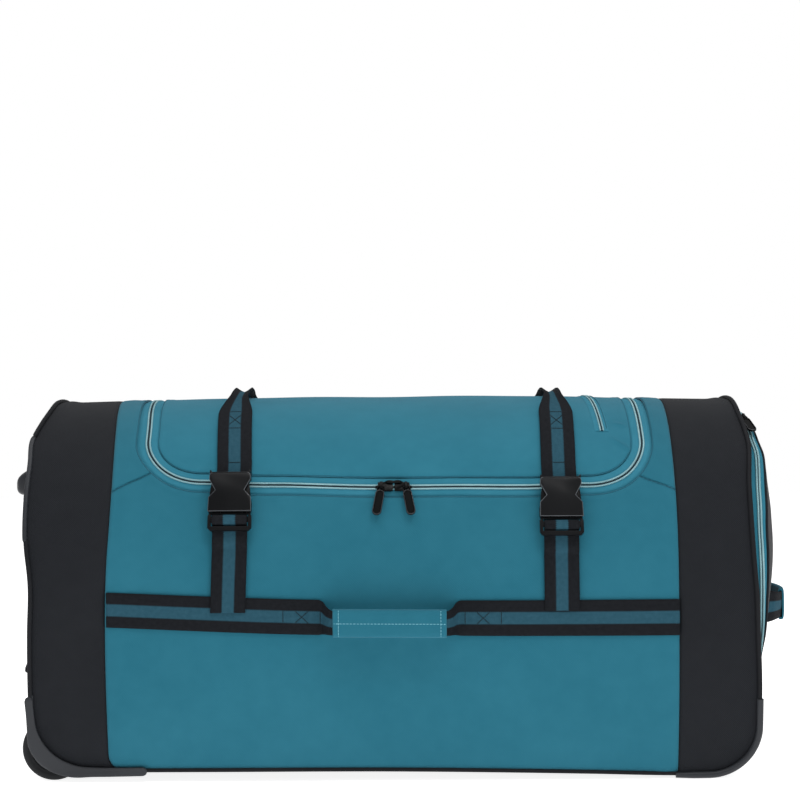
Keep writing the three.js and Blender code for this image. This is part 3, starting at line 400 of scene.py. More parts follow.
def end_edge(side, s):
    """Edge of an end at s: its points, the way out of the end and the skin's normal."""
    r = CORNER[side]
    base = base_of(side)
    z = skin(side * END_X[side], s)[..., 2]
    centre = end_reach(side, z) - r
    up = np.clip(z - base, 0, r)
    x = side * (centre + np.sqrt(r * r - (r - up) ** 2))
    way = np.stack([x - side * centre, 0 * x, np.minimum(z - base - r, 0)], -1)
    return skin(x, s), unit(way), skin_normal(x, s)


def corner_path(side, x, z, arcs):
    """Side outline of an end from x along the base, round the corner and up to z."""
    r = CORNER[side]
    base = base_of(side)
    last = float(end_reach(side, np.array(base + r)))
    centre = side * (last - r)
    angle = np.linspace(0, np.pi / 2, arcs)
    way = np.stack([side * np.sin(angle), -np.cos(angle)], -1)
    arc = np.array([centre, base + r]) + r * way
    flat = np.stack([np.linspace(x, centre, arcs)[:-1], np.full(arcs - 1, base)], -1)
    wall = np.stack([np.full(arcs - 1, side * last), np.linspace(base + r, z, arcs)[1:]], -1)
    ways = np.concatenate([np.tile([0, -1], (arcs - 1, 1)), way, np.tile([side, 0], (arcs - 1, 1))])
    return np.concatenate([flat, arc, wall]), ways


def half_width(x, z):
    """Half the bag's width at x and height z."""
    return -skin(x, girth_at(x, np.maximum(z, base_of(int(np.sign(x[0]))))))[..., 1]


def put(points):
    """Millimetres in the bag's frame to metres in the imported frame."""
    return (np.asarray(points, float) - FRAME_SHIFT) / METRE


def taken(verts):
    """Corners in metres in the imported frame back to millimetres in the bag's."""
    return np.array([vert.co for vert in verts]) * METRE + FRAME_SHIFT


def new_piece(name, bm, sharp=60):
    mesh = bpy.data.meshes.new(name)
    bm.to_mesh(mesh)
    bm.free()
    mesh.shade_smooth()
    mesh.set_sharp_from_angle(angle=math.radians(sharp))
    piece = bpy.data.objects.new(name, mesh)
    bpy.context.scene.collection.objects.link(piece)
    return piece


def laid(name, columns, rows, place, thick=0.0, turn=False, weld=False):
    """A grid of columns by rows laid by place(u, v), which gives points and the flat cut in mm."""
    bm = bmesh.new()
    bmesh.ops.create_grid(bm, x_segments=columns, y_segments=rows, size=0.5)
    bm.verts.index_update()
    spread = np.array([vert.co for vert in bm.verts]) + 0.5
    points, cut = place(spread[:, 0], spread[:, 1])
    weave = bm.loops.layers.uv.new("Weave")
    for face in bm.faces:
        for loop in face.loops:
            loop[weave].uv = cut[loop.vert.index] / METRE
    for vert, point in zip(bm.verts, put(points)):
        vert.co = point
    if turn:
        bmesh.ops.reverse_faces(bm, faces=bm.faces)
    if weld:
        bmesh.ops.remove_doubles(bm, verts=bm.verts, dist=WELD)
    piece = new_piece(name, bm)
    if thick:
        wall = piece.modifiers.new("Cloth", "SOLIDIFY")
        wall.thickness = thick / METRE
        wall.offset = -1
    return piece


def tube(bm, path, out, radius, sides, flat=1.0):
    """Adds a tube along path, closed at both ends; radius may change along it and round it."""
    along = unit(np.gradient(path, axis=0))
    across = unit(np.cross(along, out))
    out = np.cross(across, along)
    made = bmesh.ops.create_grid(bm, x_segments=len(path) - 1, y_segments=sides, size=0.5)["verts"]
    spread = np.array([vert.co for vert in made]) + 0.5
    i = np.rint(spread[:, 0] * (len(path) - 1)).astype(int)
    angle = spread[:, 1] * 2 * np.pi
    r = radius(i, angle) if callable(radius) else np.full(len(i), float(radius))
    r = np.where((i == 0) | (i == len(path) - 1), 0, r)[:, None]
    ring = across[i] * np.cos(angle)[:, None] + out[i] * (np.sin(angle)[:, None] * flat)
    for vert, point in zip(made, put(path[i] + ring * r)):
        vert.co = point


def resample(path, step):
    """Points at an even step along a line of points, with any other columns carried along."""
    run = lengths(path[:, :3])
    at = np.linspace(0, run[-1], max(int(round(run[-1] / step)), 2) + 1)
    return np.stack([np.interp(at, run, path[:, c]) for c in range(path.shape[1])], -1), at


def stitch(bm, path, out, pitch, thread):
    """A thread that runs in and out of the cloth along path."""
    line, at = resample(np.concatenate([path, out], 1), pitch / 6)
    normal = unit(line[:, 3:])
    wave = np.cos(2 * np.pi * at / pitch)
    tube(bm, line[:, :3] + normal * (thread * (wave + 0.15))[:, None], normal, thread, 5)


def close_tubes(name, bm, sharp=60):
    bmesh.ops.remove_doubles(bm, verts=bm.verts, dist=TUBE_WELD)
    return new_piece(name, bm, sharp)


def moulded(name, node, round_off, steps=2, moved=(0, 0, 0)):
    """A copy of a hard solid with its sharp edges rounded off, moved a little."""
    bm = bmesh.new()
    bm.from_mesh(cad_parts[node].data)
    bmesh.ops.remove_doubles(bm, verts=bm.verts, dist=WELD)
    bmesh.ops.dissolve_limit(bm, angle_limit=math.radians(1), verts=bm.verts, edges=bm.edges)
    edges = [edge for edge in bm.edges if edge.is_manifold and edge.calc_face_angle() > 0.6]
    bmesh.ops.bevel(
        bm,
        geom=edges,
        offset=round_off / METRE,
        offset_type="OFFSET",
        segments=steps,
        profile=0.5,
        affect="EDGES",
        clamp_overlap=True,
        material=-1,
    )
    bmesh.ops.translate(bm, verts=bm.verts, vec=Vector(moved) / METRE)
    return new_piece(name, bm, 40)


def dress(piece, finish, nodes=(), body="bag"):
    """Gives a piece its finish and its body, and hides the solids that it stands for."""
    material, slot = finish
    piece.data.materials.append(material)
    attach(piece, body)
    if nodes:
        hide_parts(*nodes)
    return piece


def sewn(piece):
    """Reads the flat cut of a cloth piece and returns the piece."""
    mesh = piece.data
    layer = mesh.uv_layers["Weave"].uv
    flat = np.empty(len(mesh.loops) * 2)
    layer.foreach_get("vector", flat)
    flat = flat.reshape(-1, 2)
    return piece


# Materials
def paint(red, green, blue):
    """A colour of a screen from 0 to 255 as the shader takes it."""
    shares = [v / 255 for v in (red, green, blue)]
    return tuple(v / 12.92 if v < 0.04045 else ((v + 0.055) / 1.055) ** 2.4 for v in shares) + (1.0,)


def node(tree, kind, inputs=None, **settings):
    made = tree.nodes.new(kind)
    for name, value in settings.items():
        setattr(made, name, value)
    for name, value in (inputs or {}).items():
        if isinstance(value, bpy.types.NodeSocket):
            tree.links.new(value, made.inputs[name])
        else:
            made.inputs[name].default_value = value
    return made


def sums(tree, operation, a, b=0.0):
    return node(tree, "ShaderNodeMath", {0: a, 1: b}, operation=operation).outputs[0]


def new_group(name, inputs, outputs):
    group = bpy.data.node_groups.new(name, "ShaderNodeTree")
    for socket, value in inputs.items():
        made = group.interface.new_socket(socket, in_out="INPUT", socket_type="NodeSocketFloat")
        made.default_value = value
    for socket in outputs:
        group.interface.new_socket(socket, in_out="OUTPUT", socket_type="NodeSocketFloat")
    return group, node(group, "NodeGroupInput"), node(group, "NodeGroupOutput")


def plain_weave():
    """Crossing threads on the cloth's own cut, with uneven slubs."""
    group, given, made = new_group("Plain weave", {"Pitch": 0.0009, "Slub": 60.0}, ["Height", "Tone"])
    cut = node(group, "ShaderNodeUVMap", uv_map="Weave").outputs[0]
    place = node(group, "ShaderNodeSeparateXYZ", {0: cut})
    turns = []
    for axis in ("X", "Y"):
        turn = sums(group, "DIVIDE", place.outputs[axis], given.outputs["Pitch"])
        turns.append(sums(group, "SINE", sums(group, "MULTIPLY", turn, math.pi)))
    over = sums(group, "MULTIPLY", turns[0], turns[1])
    high = sums(group, "ADD", sums(group, "MULTIPLY", over, 0.5), 0.5)
    slub = node(group, "ShaderNodeTexNoise", {"Vector": cut, "Scale": given.outputs["Slub"], "Detail": 5.0})
    broad = node(group, "ShaderNodeTexNoise", {"Vector": cut, "Scale": 9.0, "Detail": 2.0})
    tone = sums(group, "ADD", sums(group, "MULTIPLY", slub.outputs[0], 0.6), broad.outputs[0])
    group.links.new(high, made.inputs["Height"])
    group.links.new(sums(group, "MULTIPLY", tone, 0.625), made.inputs["Tone"])
    return group


def web_stripes():
    """Three even stripes along webbing, with notched edges between them, and its ribs."""
    sizes = {"Stripe": WEB["stripe"] / METRE, "Notch": 0.0021}
    group, given, made = new_group("Web stripes", sizes, ["Middle", "Height", "Tone"])
    cut = node(group, "ShaderNodeUVMap", uv_map="Weave").outputs[0]
    place = node(group, "ShaderNodeSeparateXYZ", {0: cut})
    turn = sums(group, "DIVIDE", place.outputs["X"], given.outputs["Notch"])
    wave = sums(group, "SINE", sums(group, "MULTIPLY", turn, 2 * math.pi))
    notch = sums(group, "MULTIPLY", sums(group, "SIGN", wave), 0.0004)
    reach = sums(group, "ADD", given.outputs["Stripe"], notch)
    middle = sums(group, "LESS_THAN", sums(group, "ABSOLUTE", place.outputs["Y"]), reach)
    across = sums(group, "SINE", sums(group, "MULTIPLY", place.outputs["Y"], 2 * math.pi / 0.0015))
    along = sums(group, "SINE", sums(group, "MULTIPLY", place.outputs["X"], 2 * math.pi / 0.0011))
    ribs = sums(group, "ADD", sums(group, "MULTIPLY", across, along), across)
    high = sums(group, "ADD", sums(group, "MULTIPLY", ribs, 0.25), 0.5)
    slub = node(group, "ShaderNodeTexNoise", {"Vector": cut, "Scale": 220.0, "Detail": 3.0})
    group.links.new(middle, made.inputs["Middle"])
    group.links.new(high, made.inputs["Height"])
    group.links.new(slub.outputs[0], made.inputs["Tone"])
    return group


def moulded_grain():
    """Fine grain of moulded plastic or rubber, with broad uneven patches."""
    group, given, made = new_group("Moulded grain", {"Grain": 900.0, "Patch": 14.0}, ["Height", "Tone"])
    place = node(group, "ShaderNodeTexCoord").outputs["Object"]
    grain = {"Vector": place, "Scale": given.outputs["Grain"], "Detail": 2.0}
    patch = {"Vector": place, "Scale": given.outputs["Patch"], "Detail": 3.0}
    fine = node(group, "ShaderNodeTexNoise", grain)
    broad = node(group, "ShaderNodeTexNoise", patch)
    group.links.new(fine.outputs[0], made.inputs["Height"])
    group.links.new(broad.outputs[0], made.inputs["Tone"])
    return group


WEAVE = plain_weave()
STRIPES = web_stripes()
GRAIN = moulded_grain()


def new_material(name):
    material = bpy.data.materials.new(name)
    material.use_nodes = True
    tree = material.node_tree
    return material, tree, tree.nodes["Principled BSDF"]


def shaded(tree, tone, dark, light):
    """A colour between dark and light by a tone from 0 to 1."""
    span = node(tree, "ShaderNodeMapRange", {"Value": tone, "From Min": 0.3, "From Max": 0.7})
    mix = node(tree, "ShaderNodeMix", {"Factor": span.outputs[0]}, data_type="RGBA")
    mix.inputs["A"].default_value = dark
    mix.inputs["B"].default_value = light
    return mix.outputs["Result"]


def raised(tree, shader, height, strength, distance):
    relief = node(tree, "ShaderNodeBump", {"Height": height, "Strength": strength, "Distance": distance})
    tree.links.new(relief.outputs[0], shader.inputs["Normal"])


def cloth_finish(name, slot, dark, light, rough, pitch, depth, sheen):
    material, tree, shader = new_material(name)
    weave = node(tree, "ShaderNodeGroup", node_tree=WEAVE)
    weave.inputs["Pitch"].default_value = pitch
    colour = shaded(tree, weave.outputs["Tone"], paint(*dark), paint(*light))
    tree.links.new(colour, shader.inputs["Base Color"])
    raised(tree, shader, weave.outputs["Height"], 0.5, depth)
    shader.inputs["Roughness"].default_value = rough
    shader.inputs["Specular IOR Level"].default_value = 0.1
    shader.inputs["Sheen Weight"].default_value = sheen
    shader.inputs["Sheen Roughness"].default_value = 0.5
    return material, slot


def webbing_finish():
    material, tree, shader = new_material("Striped webbing")
    web = node(tree, "ShaderNodeGroup", node_tree=STRIPES)
    black = shaded(tree, web.outputs["Tone"], paint(19, 21, 25), paint(25, 27, 31))
    teal = shaded(tree, web.outputs["Tone"], paint(35, 72, 87), paint(42, 80, 95))
    mix = node(tree, "ShaderNodeMix", {"Factor": web.outputs["Middle"]}, data_type="RGBA")
    tree.links.new(black, mix.inputs["A"])
    tree.links.new(teal, mix.inputs["B"])
    tree.links.new(mix.outputs["Result"], shader.inputs["Base Color"])
    raised(tree, shader, web.outputs["Height"], 0.6, 0.0004)
    shader.inputs["Roughness"].default_value = 0.8
    shader.inputs["Specular IOR Level"].default_value = 0.1
    return material, "webbing"


def hard_finish(name, slot, dark, light, rough, grain, depth, gloss=0.2, metal=0.0):
    material, tree, shader = new_material(name)
    grained = node(tree, "ShaderNodeGroup", node_tree=GRAIN)
    grained.inputs["Grain"].default_value = grain
    colour = shaded(tree, grained.outputs["Tone"], paint(*dark), paint(*light))
    tree.links.new(colour, shader.inputs["Base Color"])
    spread = node(tree, "ShaderNodeMapRange", {"Value": grained.outputs["Tone"]})
    spread.inputs["To Min"].default_value = rough - 0.06
    spread.inputs["To Max"].default_value = rough + 0.06
    tree.links.new(spread.outputs[0], shader.inputs["Roughness"])
    raised(tree, shader, grained.outputs["Height"], 0.4, depth)
    shader.inputs["Specular IOR Level"].default_value = gloss
    shader.inputs["Metallic"].default_value = metal
    return material, slot


TEAL_CLOTH = cloth_finish(
    "Teal cloth", "teal_cloth", (30, 98, 117), (38, 106, 125), 0.75, 0.0009, 0.0002, 0.1
)
LID_CLOTH = cloth_finish(
    "Lid cloth", "lid_cloth", (33, 104, 124), (41, 113, 133), 0.75, 0.0009, 0.0002, 0.1
)
BLACK_CLOTH = cloth_finish(
    "Black cloth", "black_cloth", (26, 28, 32), (31, 33, 37), 0.8, 0.0011, 0.0003, 0.06
)
PIPING_CLOTH = cloth_finish(
    "Piping cloth", "black_cloth", (24, 25, 28), (31, 32, 35), 0.6, 0.0008, 0.0001, 0.0
)
TAPE_CLOTH = cloth_finish(
    "Zip tape", "zip_tape", (42, 112, 132), (52, 122, 143), 0.8, 0.0007, 0.0002, 0.04
)
WEBBING = webbing_finish()
COIL = hard_finish("Pale coil", "zip_coil", (120, 160, 168), (146, 184, 190), 0.5, 700.0, 0.00003)
# A dark ribbon laid under the gap between the coil rows: painted shade.
COIL_GAP_SHADE = hard_finish(
    "Painted shade between coil rows", "zip_coil", (16, 34, 42), (26, 46, 54), 0.7, 700.0, 0.0001
)
DARK_METAL = hard_finish(
    "Black slider metal", "dark_metal", (6, 7, 8), (11, 12, 13), 0.18, 500.0, 0.00002, 0.1
)
# A lighter metal for the pull tabs' raised rim: a painted highlight along its edges.
PAINTED_RIM_HIGHLIGHT = hard_finish(
    "Painted rim highlight metal", "dark_metal", (44, 46, 50), (66, 69, 74), 0.2, 500.0, 0.00002, 0.5
)
BUCKLE_PLASTIC = hard_finish(
    "Buckle plastic", "buckle_plastic", (12, 13, 15), (17, 18, 20), 0.34, 800.0, 0.00004, 0.13
)
# Lighter plastic on the rounded top edges of the buckle's face: a painted highlight.
BUCKLE_PAINTED_HIGHLIGHT = hard_finish(
    "Buckle painted highlight", "buckle_plastic", (70, 73, 77), (86, 90, 94), 0.3, 800.0, 0.00004, 0.3
)
MOULDING = hard_finish(
    "Moulded plastic", "moulded_plastic", (40, 42, 46), (48, 50, 54), 0.45, 900.0, 0.00008, 0.22
)
RUBBER = hard_finish("Wheel rubber", "tyre", (33, 34, 36), (40, 41, 43), 0.6, 600.0, 0.0001, 0.15)
STEEL = hard_finish(
    "Axle steel", "steel", (130, 134, 136), (150, 154, 156), 0.32, 400.0, 0.00002, 0.5, 1.0
)
# Dark teal thread for the seams, also used as a painted shadow line beside the pocket zip.
DARK_THREAD_AND_SHADOW_LINE = hard_finish("Dark thread and painted shadow line", None, (24, 78, 96), (33, 90, 108), 0.7, 900.0, 0.00003)
BLACK_THREAD = hard_finish("Black thread", None, (18, 24, 30), (26, 32, 38), 0.7, 900.0, 0.00003)
PALE_THREAD = hard_finish(
    "Pale thread", None, (112, 172, 186), (132, 190, 202), 0.7, 900.0, 0.00003
)


# Cloth panels of the body
def spread_out(u, reach):
    """Even steps in u as places from -reach to reach, closer together at both ends."""
    crowding = 0.42
    t = 2 * u - 1
    return reach * ((1 + crowding) * t - crowding * t**3)


def opening_columns(u, d, last_x):
    """Columns across the lid's opening, d outside its zip line: x and the opening's lower edge."""
    t = np.abs(2 * u - 1)
    r = ZIP["corner"] + d
    last = math.asin(min((last_x - ARC_X) / r, 1))
    angle = np.clip((t - OPENING_STRAIGHT) / (1 - OPENING_STRAIGHT), 0, 1) * last
    x = np.where(t < OPENING_STRAIGHT, ARC_X * t / OPENING_STRAIGHT, ARC_X + r * np.sin(angle))
    return np.sign(2 * u - 1) * x, ARC_S - r * np.cos(angle)


def near_side(u, v):
    inner = np.clip((u - DART_SHARE) / (1 - 2 * DART_SHARE), 0, 1)
    x, top = opening_columns(inner, ZIP["gap"], DART_X)
    dart = np.clip(np.maximum(DART_SHARE - u, u + DART_SHARE - 1) / DART_SHARE, 0, 1)
    dart = 1 - (1 - dart) ** 1.6
    top = np.where(dart > 0, DART_TOP + (DART_END - DART_TOP) * dart, top)
    s = top * crowded(v, 0.6)
    seam = seam_at(u - 0.5, s) - GAP / 2
    x = np.where(dart > 0, np.sign(u - 0.5) * (DART_X + (seam - DART_X) * dart), x)
    out = seams(x, s)
    x, s = settled(x, s)
    return on_skin(x, s, out), np.stack([x, s], -1)


def lid_creases(x, s):
    """Two soft folds in the lid beside its zip."""
    rise = 0 * x
    for (x_a, z_a), (x_b, z_b) in LID_CREASES:
        s_a = float(girth_at(x_a, z_a))
        run = np.array([x_b - x_a, float(girth_at(x_b, z_b)) - s_a])
        long = np.linalg.norm(run)
        along = ((x - x_a) * run[0] + (s - s_a) * run[1]) / long**2
        off = ((x - x_a) * run[1] - (s - s_a) * run[0]) / long
        arch = np.clip(1 - (2 * along - 1) ** 2, 0, 1)
        rise = rise + CREASE["high"] * bump(off, CREASE["wide"]) * arch
    return rise


def lid(u, v):
    x, low = opening_columns(u, -ZIP["gap"], ZIP["x"] - ZIP["gap"])
    s = low + (HINGE_S - GAP / 2 - low) * crowded(v, -0.6)
    out = seams(x, s) + lid_creases(x, s)
    x, s = settled(x, s)
    return on_skin(x, s, out), np.stack([x, s], -1)


def top_strip(side):
    def place(u, v):
        v = crowded(v, -0.5)
        s_in = DART_TOP + GAP + (HINGE_S - GAP / 2 - DART_TOP - GAP) * v
        s_out = DART_END + GAP + (HINGE_S - GAP / 2 - DART_END - GAP) * v
        r = ZIP["corner"] + ZIP["gap"]
        x_in = ARC_X + np.sqrt(r * r - np.maximum(ARC_S - s_in, 0) ** 2)
        s = s_in + (s_out - s_in) * u
        x = side * (x_in + (seam_at(side, s_out) - GAP / 2 - x_in) * u)
        out = seams(x, s)
        x, s = settled(x, s)
        return on_skin(x, s, out), np.stack([x, s], -1)

    return place


def far_side(u, v):
    s = HINGE_S + GAP / 2 + (GIRTH - HINGE_S - GAP / 2) * v
    x = spread_out(u, seam_at(u - 0.5, s) - GAP / 2)
    return on_skin(x, s, seams(x, s)), np.stack([x, s], -1)


def wrap(side):
    def place(u, v):
        s = HALF_GIRTH * (1 - np.cos(np.pi * v))
        t = crowded(u if side > 0 else 1 - u, 0.5)
        seam = seam_at(np.full(len(s), side), s) + GAP / 2
        reach = np.abs(end_edge(side, s)[0][:, 0]) + GAP
        x = side * (seam + (reach - seam) * t)
        ridge = END_RIDGE["high"] * bump(reach - np.abs(x) - END_RIDGE["in"], END_RIDGE["wide"])
        ridge = ridge * bump(s - HALF_GIRTH, END_RIDGE["long"])
        return on_skin(x, s, seams(x, s) + ridge), np.stack([x, s], -1)

    return place


def end_wall(side):
    def place(u, v):
        s = HALF_GIRTH * v**1.7
        points, way, normal = end_edge(side, s)
        points = points - normal * (CLOTH + GAP)
        off = points[:, 2] - FOLD["z"]
        near = np.clip(1 - np.where(off > 0, off / FOLD["over"], -off / FOLD["under"]), 0, 1)
        fold = FOLD["reach"] * near**2 if side < 0 else 0 * near
        points = points + way * fold[:, None]
        across = points[:, 1].copy()
        points[:, 1] = across * (1 - 2 * u)
        return points, np.stack([points[:, 1], s], -1)

    return place


def base_board(u, v):
    left = -(END_X[-1] - CORNER[-1]) + GAP
    right = float(end_reach(1, np.array(base_of(1)))) - CORNER[1] - GAP
    x = left + (right - left) * u
    points = on_skin(x, 0 * x, -CLOTH - GAP)
    points[:, 1] *= 1 - 2 * v
    points[:, 2] = read(STATIONS, "x", "base", x)
    return points, points[:, :2].copy()


def open_wells(piece):
    """Takes the cloth away round both wheel wells."""
    bm = bmesh.new()
    bm.from_mesh(piece.data)
    reach = (WELL["r"] + WELL["wall"] + WELL["clear"]) / METRE
    half = (WELL["half"] + WELL["wall"] + WELL["clear"]) / METRE
    gone = []
    for side in (-1, 1):
        centre = put([WHEEL["x"], side * WHEEL["y"], WHEEL["r"]])
        for face in bm.faces:
            at = face.calc_center_median()
            if abs(at.y - centre[1]) < half and math.hypot(at.x - centre[0], at.z - centre[2]) < reach:
                gone.append(face)
    bmesh.ops.delete(bm, geom=gone, context="FACES")
    bm.to_mesh(piece.data)
    bm.free()


def body_panels():
    side = laid("near_side_cloth", 190, 84, near_side, CLOTH)
    sewn(dress(side, TEAL_CLOTH, ["near_side_panel"]))
    back = laid("far_side_cloth", 120, 60, far_side, CLOTH)
    sewn(dress(back, TEAL_CLOTH, ["far_side_panel"]))
    flap = laid("lid_cloth", 190, 110, lid, CLOTH)
    sewn(dress(flap, LID_CLOTH, ["lid_flap"]))
    for name, side in ENDS.items():
        strip = laid(f"top_strip_{name}_cloth", 24, 110, top_strip(side), CLOTH, turn=side < 0)
        sewn(dress(strip, TEAL_CLOTH, [f"top_strip_{name}"]))
        end = laid(f"{name}_wrap_cloth", 44, 280, wrap(side), CLOTH)
        sewn(dress(end, BLACK_CLOTH, [f"{name}_wrap"]))
        wall = laid(f"{name}_end_cloth", 60, 110, end_wall(side), CLOTH, turn=side < 0, weld=True)
        if side < 0:
            open_wells(wall)
        sewn(dress(wall, BLACK_CLOTH, [f"{name}_end_panel"]))
    board = laid("base_cloth", 120, 60, base_board, BASE_BOARD, turn=True)
    open_wells(board)
    sewn(dress(board, BLACK_CLOTH, ["base_panel"]))


def bead(path, n, e, radius):
    """Place function of a sewn bead along path, in the plane of n and e."""
    run = lengths(path)
    last = len(path) - 1

    def place(u, v):
        i = np.rint(u * last).astype(int)
        angle = 2 * np.pi * v
        r = np.where((i == 0) | (i == last), 0, radius[i])
        ring = n[i] * (np.cos(angle) * r)[:, None] + e[i] * (np.sin(angle) * r)[:, None]
        return path[i] + ring, np.stack([run[i], PIPING["r"] * angle], -1)

    return place, last


def piping():
    for name, side in ENDS.items():
        s = HALF_GIRTH * (1 - np.cos(np.linspace(0, np.pi, 400)))
        points, e, n = end_edge(side, s)
        path = points + n * PIPING["out"] + e * PIPING["out"]
        radius = np.full(len(s), PIPING["r"])
        if side < 0:
            z = points[:, 2]
            under_plate = (z > PLATE["from"] + 4) & (z < PLATE["to"] - 3)
            radius = np.where(under_plate, PIPING["thin_r"], radius)
        place, last = bead(path, n, e, radius)
        cord = laid(f"{name}_end_piping", last, 10, place, turn=side > 0, weld=True)
        dress(cord, PIPING_CLOTH, [f"piping_{name}"])
    x = np.linspace(GUARD["x"] - 60, SKID["x"] + 24, 160)
    for name, s in (("near", 0.0), ("far", GIRTH)):
        n = skin_normal(x, np.full(len(x), s))
        e = np.tile([0.0, 0.0, -1.0], (len(x), 1))
        path = skin(x, np.full(len(x), s)) + n * PIPING["base_out"]
        path = path + e * (PIPING["base_r"] - PIPING["base_up"])
        place, last = bead(path, n, e, np.full(len(x), PIPING["base_r"]))
        cord = laid(f"base_{name}_piping", last, 10, place, turn=name == "far", weld=True)
        dress(cord, PIPING_CLOTH, [f"piping_base_{name}"])


# Zips
def zip_line(step):
    """The main zip's line from the far end of its left run: x, s and the way outwards."""
    angle = np.linspace(0, np.pi / 2, int(ZIP["corner"] * np.pi / 2 / step))
    arc = [ARC_X + ZIP["corner"] * np.sin(angle), ARC_S - ZIP["corner"] * np.cos(angle)]
    run = np.linspace(ARC_S, HINGE_S - GAP, int((HINGE_S - GAP - ARC_S) / step))[1:]
    x = np.concatenate([arc[0], np.full(len(run), ZIP["x"])])
    s = np.concatenate([arc[1], run])
    nx = np.concatenate([np.sin(angle), np.ones(len(run))])
    ns = np.concatenate([-np.cos(angle), np.zeros(len(run))])
    front = np.linspace(-ARC_X, ARC_X, int(2 * ARC_X / step))[1:-1]
    still = np.zeros(len(front))
    return (
        np.concatenate([-x[::-1], front, x]),
        np.concatenate([s[::-1], still + ZIP_S, s]),
        np.concatenate([-nx[::-1], still, nx]),
        np.concatenate([ns[::-1], still - 1, ns]),
    )


def tape_depth(d):
    """How far a zip's tape lies under the skin: it dips under the panel's hem."""
    upper, upper_run = ZIP_TAPE["upper"]
    lower, lower_run = ZIP_TAPE["lower"]
    t = np.clip(np.where(d < 0, (-d - upper) / upper_run, (d - lower) / lower_run), 0, 1)
    return -ZIP_TAPE["under"] - ZIP_TAPE["dip"] * t * t * (3 - 2 * t)


def coil_rows(name, path, normal, nodes, offset, width, height, shade_half):
    """Two wound rows of coil along path with its normals, over a dark ribbon between them that is painted
    shade in the gap.
    """
    line, at = resample(np.concatenate([path, normal], 1), COIL_PITCH / 4)
    normal = unit(line[:, 3:])
    across = unit(np.cross(unit(np.gradient(line[:, :3], axis=0)), normal))
    bm = bmesh.new()
    for side in (-1, 1):
        def wound(i, angle, side=side):
            turn = np.cos(2 * np.pi * at[i] / COIL_PITCH + side * angle)
            return width * (0.84 + 0.16 * turn)

        tube(bm, line[:, :3] + across * (side * offset), normal, wound, 6, height / width)
    dress(close_tubes(name, bm, 80), COIL, nodes)

    # The dark ribbon between the rows: painted shade in the gap between them.
    def gap_shade(u, v):
        i = np.rint(u * (len(line) - 1)).astype(int)
        w = (2 * v - 1) * shade_half
        return line[i, :3] + across[i] * w[:, None], np.stack([at[i], w], -1)

    ribbon = laid(f"{name}_core", len(line) // 4, 2, gap_shade, 0.6, turn=True)
    dress(ribbon, COIL_GAP_SHADE)


def main_zip():
    x, s, nx, ns = zip_line(3.0)
    last = len(x) - 1
    run = lengths(np.stack([x, s], -1))
    for name, side in (("lower", 1), ("upper", -1)):
        def tape(u, v, side=side):
            i = np.rint(u * last).astype(int)
            d = side * (ZIP["slit"] + (ZIP["tape"] - ZIP["slit"]) * v)
            points = on_skin(*settled(x[i] + nx[i] * d, s[i] + ns[i] * d), tape_depth(d))
            return points, np.stack([run[i], d], -1)

        strip = laid(f"{name}_zip_tape", last, 14, tape, ZIP_TAPE["thick"], turn=side > 0)
        sewn(dress(strip, TAPE_CLOTH, [f"main_zip_tape_{name}"]))
    x, s = settled(*zip_line(1.5)[:2])
    path = on_skin(x, s, -0.5)
    coil_rows("main_coil", path, skin_normal(x, s), ["main_zip_coil"], **COIL_ROWS["main"])


def lid_zip_x(s):
    """The pocket zip's line: it slants on the near side and runs straight over the crown."""
    t = np.clip((HALF_GIRTH - LID_ZIP["crown"] - s) / LID_ZIP["run"], -0.1, 1)
    return LID_ZIP["x"] + LID_ZIP["slant"] * t


def lid_zip():
    start = float(girth_at(LID_ZIP["x"], LID_ZIP["z"]))
    s = np.linspace(start, GIRTH - start, 160)

    def tape(u, v):
        d = (2 * v - 1) * LID_ZIP["half"]
        at = start + (GIRTH - 2 * start) * u
        out = 0.2 + 0.5 * np.clip((LID_ZIP["half"] - np.abs(d)) / 2.5, 0, 1)
        return on_skin(lid_zip_x(at) - d, at, out), np.stack([at, d], -1)

    strip = laid("pocket_zip_tape", 110, 28, tape, 0.5)
    sewn(dress(strip, TAPE_CLOTH, ["lid_zip_tape"]))
    x = lid_zip_x(s)
    path = on_skin(x, s, 1.2)
    coil_rows("pocket_coil", path, skin_normal(x, s), ["lid_zip_coil"], **COIL_ROWS["lid"])


def axes_at(c, at):
    """A frame at a point: a along the bag, c the given way out and b square to both."""
    a = unit(ALONG - c * c[0])
    return np.stack([a, np.cross(c, a), c, at], -1)


def frame_on(x, s, out):
    """A frame on the skin: a along the bag, b up the skin and c out of it."""
    c = skin_normal(x, s)
    return axes_at(c, skin(x, s) + c * out)


def in_frame(axes, points):
    points = np.asarray(points, float)
    return points @ axes[:, :3].T + axes[:, 3]


def turned(axes, degrees):
    """The frame turned about its c axis."""
    a, b, c, at = axes.T
    cos = math.cos(math.radians(degrees))
    sin = math.sin(math.radians(degrees))
    return np.stack([a * cos + b * sin, b * cos - a * sin, c, at], -1)


def set_in(axes, verts):
    for vert in verts:
        vert.co = put(in_frame(axes, vert.co))


